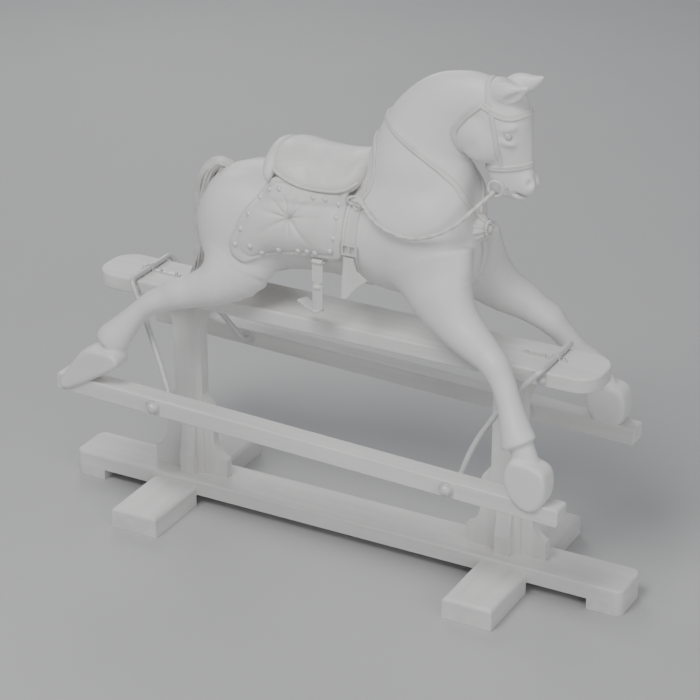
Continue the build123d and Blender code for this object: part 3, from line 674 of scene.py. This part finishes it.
def metal(name, colour, rough, metallic, pits):
    """Metal or painted iron with fine pitting, scuffs and uneven polish."""
    n = Nodes(name)
    pitting = n.noise(n.place, pits, 5.0, 0.7)
    scuffs = n.noise(n.stretched((1.0, 0.2, 1.0)), 90.0, 4.0, 0.6)
    base = n.ramp(pitting, shade(colour, 0.84), colour, 0.3, 0.6)
    gloss = n.ramp(scuffs, (rough - 0.1,) * 3, (rough + 0.14,) * 3)
    n.feed(Base_Color=base, Roughness=gloss, Metallic=metallic, Normal=n.bump(pitting, 0.22, 0.0004))
    return n.material


def hair(name, colour):
    """Combed hair: fine streaks along the hank."""
    n = Nodes(name)
    streaks = n.noise(n.stretched((1.0, 1.0, 0.06)), 520.0, 5.0, 0.7)
    tone = n.noise(n.place, 30.0, 3.0)
    base = n.ramp(tone, shade(colour, 0.86), shade(colour, 1.05))
    rough = n.ramp(streaks, (0.45,) * 3, (0.7,) * 3)
    n.feed(Base_Color=base, Roughness=rough, Normal=n.bump(streaks, 0.6, 0.0006))
    return n.material


def eye_glass(name):
    """Glass eye: polished and slightly darker than the paint, with a faint swirl in its tone."""
    n = Nodes(name)
    swirl = n.noise(n.place, 260.0, 3.0)
    base = n.ramp(swirl, (0.50, 0.50, 0.50), (0.62, 0.62, 0.61))
    n.feed(Base_Color=base, Roughness=n.ramp(swirl, (0.08,) * 3, (0.16,) * 3), Coat_Weight=0.6)
    return n.material


def plain(name, colour, rough):
    """Studio floor paint with the faintest mottling."""
    n = Nodes(name)
    mottle = n.noise(n.place, 3.0, 3.0)
    n.feed(Base_Color=n.ramp(mottle, shade(colour, 0.985), colour), Roughness=rough)
    return n.material


PALE = (0.72, 0.71, 0.695)
TIMBER = {axis: timber(f"timber_{axis}", PALE, axis) for axis in "XYZ"}
PAINT = carved_paint("carved_paint", (0.74, 0.73, 0.72))
SEAT_LEATHER = leather("seat_leather", (0.73, 0.72, 0.70))
CLOTH_LEATHER = leather("saddle_cloth", (0.69, 0.68, 0.665), 520.0, (0.5, 0.7))
STRAP_LEATHER = leather("strap_leather", (0.68, 0.67, 0.65), 600.0)
CORD = leather("rein_cord", (0.66, 0.65, 0.63), 800.0, (0.6, 0.8))
IRON = metal("painted_iron", (0.66, 0.66, 0.65), 0.42, 0.15, 240.0)
STEEL = metal("dull_steel", (0.60, 0.60, 0.60), 0.4, 0.6, 380.0)
NICKEL = metal("nickel", (0.74, 0.74, 0.73), 0.36, 0.2, 420.0)
HAIR = hair("horse_hair", (0.66, 0.65, 0.63))
EYE_GLASS = eye_glass("eye_glass")

# --- Pieces kept from the CAD ----------------------------------------------------------------
ENDS = ("front", "rear")
SIDES = ("left", "right")
POST_PARTS = ("post", "post_wing_brackets")
# Timber nodes by the axis their grain runs along.
KEPT_TIMBER = {
    "X": ["base_plank", "post_head_corbels", "top_rail"] + [f"{side}_hoof_rail" for side in SIDES],
    "Y": ["base_end_pads"] + [f"{end}_cross_foot" for end in ENDS],
    "Z": ["post_side_brackets"] + [f"{end}_{part}" for end in ENDS for part in POST_PARTS],
}
IRON_PARTS = ("swing_iron", "iron_washers", "iron_cap_nuts")
KEPT_METAL = (
    (IRON, [f"{end}_{part}" for end in ENDS for part in IRON_PARTS]),
    (IRON, ["top_rail_cross_bolts", "iron_bearing_straps"]),
    (STEEL, ["cross_foot_screws", "end_pad_screws", "bearing_strap_screws", "stirrup_hangers"]),
    (NICKEL, ["bit_and_rings"]),
    (STRAP_LEATHER, [f"{side}_stirrup_leather" for side in SIDES]),
)
TIMBER_SOFTNESS = 1.4
METAL_SOFTNESS = 0.5


def dress(node, material, softness):
    """Gives a CAD node its material and breaks its sharp edges."""
    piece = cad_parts[node]
    piece.data.materials.clear()
    piece.data.materials.append(material)
    bevel = piece.modifiers.new("soft_edges", "BEVEL")
    bevel.width = softness * MM
    bevel.segments = 2
    bevel.limit_method = "ANGLE"
    bevel.angle_limit = math.radians(40)


def dress_kept():
    """Materials for the CAD nodes that are seen as they are."""
    for axis, nodes in KEPT_TIMBER.items():
        for node in nodes:
            dress(node, TIMBER[axis], TIMBER_SOFTNESS)
    for material, nodes in KEPT_METAL:
        for node in nodes:
            dress(node, material, METAL_SOFTNESS)


# --- Horse -----------------------------------------------------------------------------------
def horse_piece(sculpt):
    """The carved horse, standing for every carved block in the CAD."""
    points, faces = sculpt.skin()
    piece = make_object("carved_horse", points, faces, PAINT)
    smooth = piece.modifiers.new("hand_finish", "SMOOTH")
    smooth.factor = 0.5
    smooth.iterations = 4
    legs = [f"{side}_{end}_leg" for side in SIDES for end in ("fore", "hind")]
    blocks = [f"{part}_block" for part in ("upper_body", "lower_body", "neck", "head")]
    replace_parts(piece, *blocks, *legs, "ears", "tail_peg")


def eyes_piece():
    """Glass eyeballs with carved lids."""
    maker = Maker()
    centre = np.array(EYE, float)
    dome(maker, centre, (0.15, 1, 0.05), EYE_RADIUS, EYE_RADIUS, 24, 10)
    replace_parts(maker.mirrored().make("glass_eyeballs", EYE_GLASS), "glass_eyes")


def tail_piece():
    """Hank of wavy hair, nailed over the peg and combed down behind."""
    rng = random.Random(5)
    core = resample(TAIL, 34)
    maker = Maker()
    for _ in range(120):
        angle, reach = rng.uniform(0, 2 * math.pi), 0.95 * rng.random()**0.4
        phase, sway = rng.uniform(0, 6.28), rng.uniform(0.6, 1.8)
        stop = rng.randint(28, 34)
        path = []
        for step, (x, y, z, depth, width) in enumerate(core[:stop]):
            wave = sway * math.sin(phase + step * 0.75)
            path.append((
                x + (depth - 2) * reach * math.cos(angle) + wave,
                y + (width - 2) * reach * math.sin(angle) + 0.8 * wave,
                z + (0.48 * (depth - 2) * reach * math.cos(angle) if step < TAIL_ARCH_STEPS else 0),
            ))
        taper = np.concatenate((np.full(stop - 6, 3.1), np.linspace(3.0, 0.5, 6)))
        tube(maker, np.array(path), taper, 6)
    inner = resample(TAIL, 30)
    points = inner[:, :3]
    tube(maker, points[:-2], 0.85 * np.minimum(inner[:-2, 3], inner[:-2, 4]), 16)
    tail = maker.make("horse_hair_tail", HAIR)
    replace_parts(tail, "tail")
    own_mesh(tail)


TAIL = (
    (-256, 0, 776, 8, 9),
    (-270, 0, 781, 13, 12),
    (-292, 0, 782, 16, 15),
    (-314, 0, 764, 18, 18),
    (-329, 0, 726, 17, 20),
    (-335, 0, 680, 13, 20),
    (-338, 0, 640, 12, 19),
    (-336, 0, 608, 12, 18),
    (-342, 0, 570, 12, 17),
    (-350, 0, 542, 10, 14),
    (-366, 0, 520, 5, 8),
)
TAIL_ARCH_STEPS = 8


# --- Saddle ----------------------------------------------------------------------------------
# Each row of the seat is (x, top z, lowest z, half width).
SEAT = (
    (-132, 860, 822, 58),
    (-118, 864, 812, 74),
    (-90, 864, 800, 84),
    (-50, 859, 790, 88),
    (0, 858, 791, 89),
    (36, 863, 796, 86),
    (58, 871, 808, 74),
    (72, 870, 828, 46),
)
SEAT_SIDES = 44


def seat_shell():
    """Closed stuffed seat: a loaf whose underside follows the horse's back."""
    rows = resample(SEAT, 40)
    maker = Maker()
    points = []
    for x, top, low, half in rows:
        middle = (top + low) / 2
        for k in range(SEAT_SIDES):
            angle = 2 * math.pi * k / SEAT_SIDES
            c, s = math.cos(angle), math.sin(angle)
            y = half * math.copysign(abs(c)**0.8, c)
            rise = (top - middle) * abs(s)**0.8 if s > 0 else -(middle - low) * abs(s)**0.8
            drop = (top - low) * SEAT_DROP * (abs(y) / half)**2.4
            points.append((x, y, middle + rise - drop))
    maker.add(points, rings_to_faces(len(rows), SEAT_SIDES, False))
    return maker.make("saddle_seat_leather", SEAT_LEATHER, None)


def stuff(piece, pressure, reach):
    """Fills a leather shell by a short cloth simulation, then keeps the result as plain mesh."""
    start = np.array([v.co for v in piece.data.vertices])
    cloth = piece.modifiers.new("stuffing", "CLOTH")
    cloth.settings.use_pressure = True
    cloth.settings.uniform_pressure_force = pressure
    cloth.settings.effector_weights.gravity = 0.0
    cloth.settings.tension_stiffness = 40.0
    cloth.settings.compression_stiffness = 40.0
    cloth.settings.bending_stiffness = 4.0
    cloth.point_cache.frame_start = 1
    cloth.point_cache.frame_end = 20
    scene = bpy.context.scene
    for number in range(1, 21):
        scene.frame_set(number)
    depsgraph = bpy.context.evaluated_depsgraph_get()
    done = piece.evaluated_get(depsgraph)
    end = np.array([v.co for v in done.data.vertices])
    piece.modifiers.remove(cloth)
    move = end - start
    size = np.linalg.norm(move, axis=1, keepdims=True)
    move *= np.minimum(1.0, reach * MM / np.maximum(size, 1e-9))
    piece.data.vertices.foreach_set("co", (start + move).ravel())
    piece.data.update()
    scene.frame_set(1)


def remesh(piece, size):
    """Even small quads all over a closed mesh, so that the leather can wrinkle."""
    modifier = piece.modifiers.new("remesh", "REMESH")
    modifier.mode = "VOXEL"
    modifier.voxel_size = size * MM
    depsgraph = bpy.context.evaluated_depsgraph_get()
    mesh = bpy.data.meshes.new_from_object(piece.evaluated_get(depsgraph))
    piece.modifiers.remove(modifier)
    piece.data = mesh
    mesh.polygons.foreach_set("use_smooth", [True] * len(mesh.polygons))


def finish_leather(piece, cell, swell, node):
    """Remeshes, stuffs and smooths one leather shell, which stands for a CAD node."""
    remesh(piece, cell)
    stuff(piece, STUFFING_PRESSURE, swell)
    fine = piece.modifiers.new("fine", "SUBSURF")
    fine.levels = 1
    fine.render_levels = 1
    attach(piece, "horse")
    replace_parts(piece, node)


def cantle_shell():
    """Rolled cantle, bent over the horse's back and tapering at its ends."""
    maker = Maker()
    path = []
    angles = np.linspace(-1.0, 1.0, 60)
    for a in angles:
        path.append((CANTLE_X + 6 * abs(a), CANTLE_REACH * a, CANTLE_TOP - CANTLE_DROP * abs(a)**2.2))
    tube(maker, np.array(path), CANTLE_RADIUS * (1 - 0.75 * np.abs(angles)**7), 20)
    return maker.make("saddle_cantle_leather", SEAT_LEATHER, None)


def saddle_pieces():
    """Stuffed seat, rolled cantle and the welt round the seat's lower edge."""
    finish_leather(seat_shell(), 5.0, 5.0, "saddle_seat")
    finish_leather(cantle_shell(), 4.0, 3.0, "saddle_cantle_roll")
    welt = Maker()
    path = []
    for x, top, low, half in resample(SEAT, 70)[2:-6]:
        path.append((x, half + 2.5, (top + low) / 2 - SEAT_DROP * (top - low) - 3))
    tube(welt, np.array(path), WELT_RADIUS, 10)
    welt.mirrored().make("saddle_welt", STRAP_LEATHER)


STUFFING_PRESSURE = 4.0
SEAT_DROP = 0.26
WELT_RADIUS = 3.4
CANTLE_X = -138.0
CANTLE_REACH = 84.0
CANTLE_TOP = 845.0
CANTLE_DROP = 46.0
CANTLE_RADIUS = 18.0
FLAP_CENTRE = (-70, 738)
FLAP_OUTLINE = (
    (50, 814),
    (-40, 814),
    (-116, 809),
    (-138, 788),
    (-152, 765),
    (-176, 728),
    (-200, 664),
    (-194, 640),
    (-171, 626),
    (-140, 640),
    (-96, 654),
    (-56, 663),
    (-16, 668),
    (30, 671),
    (50, 676),
    (51, 740),
)
# Each stud is (x, z).
STUD_PLACES = (
    (-120, 784),
    (-98, 789),
    (-20, 786),
    (6, 787),
    (34, 780),
    (35, 756),
    (28, 692),
    (34, 718),
    (-7, 682),
    (-24, 682),
    (-45, 679),
    (-90, 672),
    (-132, 656),
    (-154, 668),
    (-186, 666),
    (-174, 700),
    (-160, 730),
    (-142, 762),
)
FLAP_RINGS = 44
FLAP_SPOKES = 200


def closed_outline(points, count):
    """Even points round a closed outline with slightly rounded corners."""
    points = np.asarray(points, float)
    length = np.linalg.norm(np.roll(points, -1, axis=0) - points, axis=1)
    marks = np.concatenate(([0], np.cumsum(length)))
    wanted = np.linspace(0, marks[-1], count, endpoint=False)
    looped = np.vstack((points, points[0]))
    even = np.stack([np.interp(wanted, marks, looped[:, i]) for i in range(2)], axis=1)
    for _ in range(3):
        even = (np.roll(even, 1, axis=0) + 2 * even + np.roll(even, -1, axis=0)) / 4
    return even


def quilt(share, angle):
    """Height of the padded saddle cloth: a deep central tuft with creases running out of it."""
    height = 5.5 + 6.5 * np.sin(np.clip(share, 0, 0.86) / 0.86 * math.pi)**0.8
    height -= 5.0 * np.exp(-(share / 0.10)**2)
    for turn, reach, depth in FLAP_CREASES:
        gap = np.abs((angle - math.radians(turn) + math.pi) % (2 * math.pi) - math.pi)
        width = 0.05 + 0.10 * (1 - share)
        height -= depth * np.exp(-(gap / width)**2) * np.clip(1 - share / reach, 0, 1)**0.6
    height -= 1.3 * np.exp(-((share - 0.86) / 0.018)**2)
    return height * np.clip((1.0 - share) / 0.03, 0.25, 1)**0.5


FLAP_CREASES = (
    (8, 0.62, 3.6),
    (38, 0.55, 3.0),
    (74, 0.6, 3.2),
    (112, 0.6, 3.0),
    (150, 0.62, 3.4),
    (178, 0.7, 3.8),
    (212, 0.5, 2.8),
    (248, 0.62, 3.2),
    (284, 0.5, 3.0),
    (322, 0.62, 3.4),
)


def side_skin(sculpt, spots):
    """Where rays straight in from the left meet the carving, at each (x, z) spot."""
    origins = np.stack((spots[:, 0], np.full(len(spots), RAY_START_Y), spots[:, 1]), axis=1)
    skin = sculpt.march(origins, np.tile((0.0, -1.0, 0.0), (len(spots), 1)), RAY_REACH)
    skin[skin[:, 1] > MISSED_Y, 1] = 0.0
    return hang(skin, sculpt.slope(skin))


def flap_points(sculpt, outline):
    """Skin points, outward directions and padding heights over one flap, ring by ring."""
    centre = np.array(FLAP_CENTRE, float)
    flat, share, angle = [], [], []
    for ring in np.linspace(0.012, 1.0, FLAP_RINGS):
        spot = centre + ring * (outline - centre)
        flat.append(spot)
        share.append(np.full(len(outline), ring))
        angle.append(np.arctan2(spot[:, 1] - centre[1], spot[:, 0] - centre[0]))
    flat, share, angle = np.concatenate(flat), np.concatenate(share), np.concatenate(angle)
    return (*side_skin(sculpt, flat), quilt(share, angle))


def hang(skin, out):
    """Under the seat the flap hangs straight down from the seat's edge, clear of the horse's back."""
    under = np.clip((skin[:, 0] - HANG_REAR) / 25.0, 0, 1)
    wanted = HANG_Y + (HANG_Z - skin[:, 2]) * HANG_SLOPE
    gap = np.clip(wanted - skin[:, 1], 0, 100) * under * (skin[:, 2] > HANG_LOW_Z)
    share = np.clip(gap / 12.0, 0, 1)[:, None]
    return skin + gap[:, None] * (0, 1, 0), unit(out * (1 - share) + np.array((0, 1.0, 0.12)) * share)


RAY_START_Y = 200.0
RAY_REACH = 195.0
MISSED_Y = 180.0
HANG_REAR = -146.0
HANG_Y = 79.0
HANG_Z = 806.0
HANG_SLOPE = 0.24
HANG_LOW_Z = 750.0


def flap_pieces(sculpt):
    """Padded, buttoned and studded saddle cloth on both sides of the horse."""
    outline = closed_outline(FLAP_OUTLINE, FLAP_SPOKES)
    skin, out, height = flap_points(sculpt, outline)
    cover = skin + out * (height[:, None] + 0.6)
    count = len(outline)
    edge = skin[-count:] - out[-count:] * 2.0
    points = np.vstack((cover, edge, cover[:count].mean(axis=0)))
    faces = rings_to_faces(FLAP_RINGS + 1, count, False, caps=False)
    faces += [((k + 1) % count, k, len(points) - 1) for k in range(count)]
    for side, sign in (("left", 1), ("right", -1)):
        turned = [face[::-1] if sign > 0 else face for face in faces]
        piece = make_object(f"{side}_quilted_flap", points * (1, sign, 1), turned, CLOTH_LEATHER)
        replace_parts(piece, f"{side}_saddle_flap")


def stud_pieces(sculpt):
    """Domed studs in a row inside the flaps' edges."""
    spots = np.array(STUD_PLACES, float)
    skin, out = side_skin(sculpt, spots)
    maker = Maker()
    centre = np.array(FLAP_CENTRE, float)
    edge = closed_outline(FLAP_OUTLINE, FLAP_SPOKES) - centre
    edge_turn = np.arctan2(edge[:, 1], edge[:, 0])
    for point, up, spot in zip(skin, out, spots - centre):
        turn = math.atan2(spot[1], spot[0])
        gap = np.abs((edge_turn - turn + math.pi) % (2 * math.pi) - math.pi)
        share = np.linalg.norm(spot) / np.linalg.norm(edge[gap.argmin()])
        lift = float(quilt(np.array([min(share, 1.0)]), np.array([turn]))[0])
        dome(maker, point + up * lift, up, 6.0, 4.6)
    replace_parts(maker.mirrored().make("domed_studs", NICKEL), "saddle_studs")


# --- Harness ---------------------------------------------------------------------------------
def wrap(sculpt, centre, axis, start, end, count):
    """Points where a plane's rays leave the carving, between two angles measured from straight up."""
    axis = unit(np.array(axis, float))
    up = unit(np.array((0.0, 0.0, 1.0)) - axis * axis[2])
    if abs(axis[2]) > 0.8:
        up = unit(np.array((1.0, 0.0, 0.0)) - axis * axis[0])
    side = np.cross(axis, up)
    angles = np.radians(np.linspace(start, end, count))
    rays = np.cos(angles)[:, None] * up + np.sin(angles)[:, None] * side
    path = sculpt.march(np.tile(np.array(centre, float), (count, 1)), rays, WRAP_REACH)
    return path, sculpt.slope(path)


def snapped(sculpt, guide, count, lift=0.0):
    """Smooth path through the guide points, laid on the carving."""
    return sculpt.snap(resample(guide, count), lift)


def both_halves(half):
    """Guide points right across the horse, from a half that starts on the middle plane."""
    return [(x, -y, z) for x, y, z in half[::-1]] + list(half[1:])


def strap_maker(laid, width, thickness, closed=False):
    """Strap along a laid path, which comes with its outward directions."""
    path, out = laid
    maker = Maker()
    ribbon(maker, path, out, strap_profile(width, thickness), closed)
    return maker


def girth_piece(sculpt):
    """Girth round the trunk, open at the top under the saddle."""
    strap = strap_maker(wrap(sculpt, GIRTH_CENTRE, (1, 0, 0), 24, 336, 120), 25, 3.4)
    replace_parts(strap.make("leather_girth", STRAP_LEATHER), "girth_strap")


WRAP_REACH = 190.0
GIRTH_CENTRE = (70.0, 0, 712)


def neck_strap_piece(sculpt):
    """Broad strap from the withers round the base of the neck to the chest."""
    strap = strap_maker(snapped(sculpt, both_halves(NECK_STRAP), 150), 12, 4.0)
    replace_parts(strap.make("leather_breast_strap", STRAP_LEATHER), "breast_strap")


NECK_STRAP = (
    (98, 0, 957),
    (112, 26, 947),
    (148, 46, 927),
    (190, 56, 904),
    (238, 62, 880),
    (281, 58, 856),
    (290, 44, 826),
    (296, 26, 800),
    (294, 14, 776),
)


def bridle_pieces(sculpt):
    """Noseband, browband, headpiece, cheek straps and throat lash."""
    path, out = wrap(sculpt, (356, 0, 893), (-0.2, 0, 1.0), 0, 360, 73)
    nose = strap_maker((path[:-1], out[:-1]), 11, 3.0, closed=True)
    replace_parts(nose.make("leather_noseband", STRAP_LEATHER), "noseband")
    brow = strap_maker(snapped(sculpt, both_halves(BROWBAND), 90), 13, 3.2)
    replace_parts(brow.make("leather_browband", STRAP_LEATHER), "browband")
    crown = strap_maker(wrap(sculpt, (330, 0, 1008), (1.0, 0, 0.31), -92, 92, 60), 11, 3.2)
    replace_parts(crown.make("leather_headpiece", STRAP_LEATHER), "headpiece")
    cheek = strap_maker(snapped(sculpt, CHEEK_STRAP, 40), 9, 3.0)
    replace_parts(cheek.mirrored().make("leather_cheek_straps", STRAP_LEATHER), "cheek_straps")
    far_side = [(x, -y, z) for x, y, z in THROAT_LASH[-2::-1]]
    lash = strap_maker(snapped(sculpt, list(THROAT_LASH) + far_side, 110, 0.5), 12, 3.2)
    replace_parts(lash.make("leather_throat_lash", STRAP_LEATHER), "throat_lash")


CHEEK_STRAP = (
    (333, 44, 1008),
    (340, 44, 975),
    (345, 42, 940),
    (349, 36, 912),
    (350, 32, 893),
)
BROWBAND = (
    (403, 0, 1008),
    (396, 22, 1007),
    (380, 38, 1002),
    (360, 44, 1001),
    (338, 44, 1006),
    (322, 42, 1013),
    (310, 41, 1018),
)
THROAT_LASH = (
    (311, 41, 1019),
    (290, 42, 1000),
    (268, 40, 976),
    (254, 36, 956),
    (258, 30, 930),
    (270, 16, 908),
    (274, 0, 902),
)
REIN = (
    (78, 112, 806),
    (94, 114, 806),
    (106, 117, 797),
    (120, 121, 783),
    (147, 124, 767),
    (190, 125, 757),
    (226, 122, 760),
    (263, 112, 773),
    (292, 94, 792),
    (316, 70, 818),
    (334, 52, 838),
    (344, 42, 850),
)


REIN_CLEARANCE = 5.5


def rein_pieces(sculpt):
    """Laid cord reins, hanging free from the pommel to the bit rings."""
    for side, sign in (("left", 1), ("right", -1)):
        path = resample(REIN, 260) * (1, sign, 1)
        depth = sculpt.sample(path)
        out = sculpt.slope(path)
        path = path + out * np.clip(REIN_CLEARANCE - depth, 0, 20)[:, None]
        maker = Maker()
        tube(maker, path, 4.0, 15, lobes=3, twist=0.42)
        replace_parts(maker.make(f"{side}_cord_rein", CORD), f"{side}_rein")


def pommel_straps_piece(sculpt):
    """Strap over the withers, down to the knots that hold the reins' ends."""
    over = strap_maker(snapped(sculpt, both_halves(POMMEL_STRAP), 90, 1.0), 8, 3.4)
    over.make("pommel_strap", STRAP_LEATHER)
    maker = Maker()
    knot = sculpt.snap([POMMEL_STRAP[-1]], 9.0)[0][0]
    for turn, reach, fat in REIN_KNOTS:
        angles = np.linspace(0, 2 * math.pi, 25)[:-1] + turn
        side = np.array((math.cos(turn), 0.25, math.sin(turn)))
        rise = np.array((-math.sin(turn), 0.1, math.cos(turn)))
        centre = knot + side * reach
        ring = centre + reach * (np.cos(angles)[:, None] * side + np.sin(angles)[:, None] * rise)
        tube(maker, ring, fat, 10, closed=True)
    maker.mirrored().make("rein_knots", STRAP_LEATHER)


POMMEL_STRAP = (
    (94, 0, 900),
    (93, 32, 888),
    (91, 58, 868),
    (83, 88, 843),
    (74, 102, 826),
    (64, 108, 806),
)
# Each loop of the knot is (turn, radius, thickness).
REIN_KNOTS = (
    (0.3, 8.5, 3.6),
    (-0.9, 7.5, 3.2),
    (1.4, 7.0, 3.0),
    (2.6, 7.5, 3.0),
)


def stirrup_pieces():
    """Stirrup irons: a flat outer branch from the bar and a tread turned in under the horse."""
    for side, sign in (("left", 1), ("right", -1)):
        x, y = STIRRUP_X, STIRRUP_Y
        branch = Maker()
        heights = np.linspace(TREAD_Z + 1, STIRRUP_BAR_Z + 5, 14)
        path = np.array([(x, y, z) for z in heights])
        out = np.tile((0.0, 1.0, 0.0), (len(path), 1))
        ribbon(branch, path, out, flat_profile(STIRRUP_BRANCH_WIDTH, 4.4))
        steps = np.linspace(0, 1, 16)
        path = [(x + 6 - 56 * t, y + 3 - 28 * t, TREAD_Z - 1.5 + 5 * t**3) for t in steps]
        path = np.array(path)
        out = np.tile((0.0, 0.0, 1.0), (len(path), 1))
        ribbon(branch, path, out, flat_profile(24, 5.0))
        branch.points = [(px, sign * py, pz) for px, py, pz in branch.points]
        if sign < 0:
            branch.faces = [face[::-1] for face in branch.faces]
        piece = branch.make(f"{side}_stirrup_tread", NICKEL, f"{side}_stirrup_iron")
        bevel = piece.modifiers.new("soft_edges", "BEVEL")
        bevel.width = 1.2 * MM
        bevel.segments = 2
        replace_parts(piece, f"{side}_stirrup_iron")


STIRRUP_X = -2.0
STIRRUP_Y = 112.0
STIRRUP_BAR_Z = 606.0
STIRRUP_BRANCH_WIDTH = 23.0
TREAD_Z = 558.0


def rosette_piece():
    """Rosette of gathered leather on the chest, with a boss of small beads above."""
    rng = random.Random(3)
    maker = Maker()
    centre = np.array((ROSETTE[0], 0.0, ROSETTE[1]))
    up = unit(np.array((1.0, 0.0, 0.12)))
    tall = unit(np.cross(up, (0, 1, 0)))
    wide = np.array((0.0, 1.0, 0.0))
    rings, sides = 14, 72
    points = []
    for ring in range(rings):
        share = ring / (rings - 1)
        crown = 22 * math.cos(share * math.pi / 2)**0.6 - 16 * share**2
        for k in range(sides):
            angle = 2 * math.pi * k / sides
            gather = math.cos(ROSETTE_GATHERS * angle) * share
            reach = ROSETTE_RADIUS * share * (1 + 0.07 * gather)
            flat = wide * reach * math.sin(angle) + tall * reach * math.cos(angle)
            points.append(centre + flat + up * (crown + 1.4 * gather))
    faces = rings_to_faces(rings, sides, False, caps=False)
    maker.add(points, faces)
    for k in range(ROSETTE_BEADS):
        angle = 2 * math.pi * k / ROSETTE_BEADS
        spot = centre + 14 * (wide * math.sin(angle) + tall * math.cos(angle)) + up * 18
        dome(maker, spot, up, rng.uniform(3.4, 4.6), rng.uniform(3.5, 5))
    dome(maker, centre + up * 19, up, 9, 8, 20, 6)
    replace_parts(maker.make("leather_rosette", STRAP_LEATHER), "chest_rosette")


ROSETTE = (297, 750)
ROSETTE_RADIUS = 36.0
ROSETTE_GATHERS = 12
ROSETTE_BEADS = 16


# --- Studio ----------------------------------------------------------------------------------
CAMERA_PLACE = (2.1275, -3.9442, 2.5380)
CAMERA_AIM = (0.0282, -0.0330, 0.4431)
CAMERA_LENS = 124.38
FLOOR_REACH = 30.0
SKY_STRENGTH = 0.34


def aim(thing, target):
    thing.rotation_euler = (Vector(target) - thing.location).to_track_quat("-Z", "Y").to_euler()


def studio():
    """Pale floor, soft lights and the camera."""
    mesh = bpy.data.meshes.new("floor")
    corners = [(x * FLOOR_REACH, y * FLOOR_REACH, 0) for x, y in ((-1, -1), (1, -1), (1, 1), (-1, 1))]
    mesh.from_pydata(corners, [], [(0, 1, 2, 3)])
    floor = bpy.data.objects.new("floor", mesh)
    floor.location.z = -0.0005
    floor.data.materials.append(plain("floor_paint", (0.50, 0.50, 0.50), 0.9))
    bpy.context.scene.collection.objects.link(floor)
    world = bpy.data.worlds.new("studio")
    bpy.context.scene.world = world
    world.use_nodes = True
    background = world.node_tree.nodes["Background"]
    background.inputs["Color"].default_value = (0.93, 0.95, 1.0, 1.0)
    background.inputs["Strength"].default_value = SKY_STRENGTH
    for name, place, size, power in LIGHTS:
        data = bpy.data.lights.new(name, "AREA")
        data.shape = "DISK"
        data.size = size
        data.energy = power
        lamp = bpy.data.objects.new(name, data)
        lamp.location = place
        aim(lamp, (0, 0, 0.5))
        bpy.context.scene.collection.objects.link(lamp)
    data = bpy.data.cameras.new("camera")
    data.lens = CAMERA_LENS
    data.sensor_width = 36.0
    camera = bpy.data.objects.new("camera", data)
    camera.location = CAMERA_PLACE
    aim(camera, CAMERA_AIM)
    bpy.context.scene.collection.objects.link(camera)
    bpy.context.scene.camera = camera


# Each light is (name, place, size in metres, watts).
LIGHTS = (
    ("key", (-0.4, -2.8, 4.4), 2.4, 150.0),
    ("fill", (3.4, -2.2, 1.6), 2.6, 44.0),
    ("rim", (-2.4, 3.0, 2.6), 2.0, 44.0),
)

studio()
dress_kept()
horse = carve_horse()
horse_piece(horse)
eyes_piece()
tail_piece()
saddle_pieces()
flap_pieces(horse)
stud_pieces(horse)
girth_piece(horse)
neck_strap_piece(horse)
bridle_pieces(horse)
rein_pieces(horse)
pommel_straps_piece(horse)
stirrup_pieces()
rosette_piece()
for node, material in (("girth_buckles", NICKEL), ("girth_ends", STRAP_LEATHER)):
    dress(node, material, 0.6)
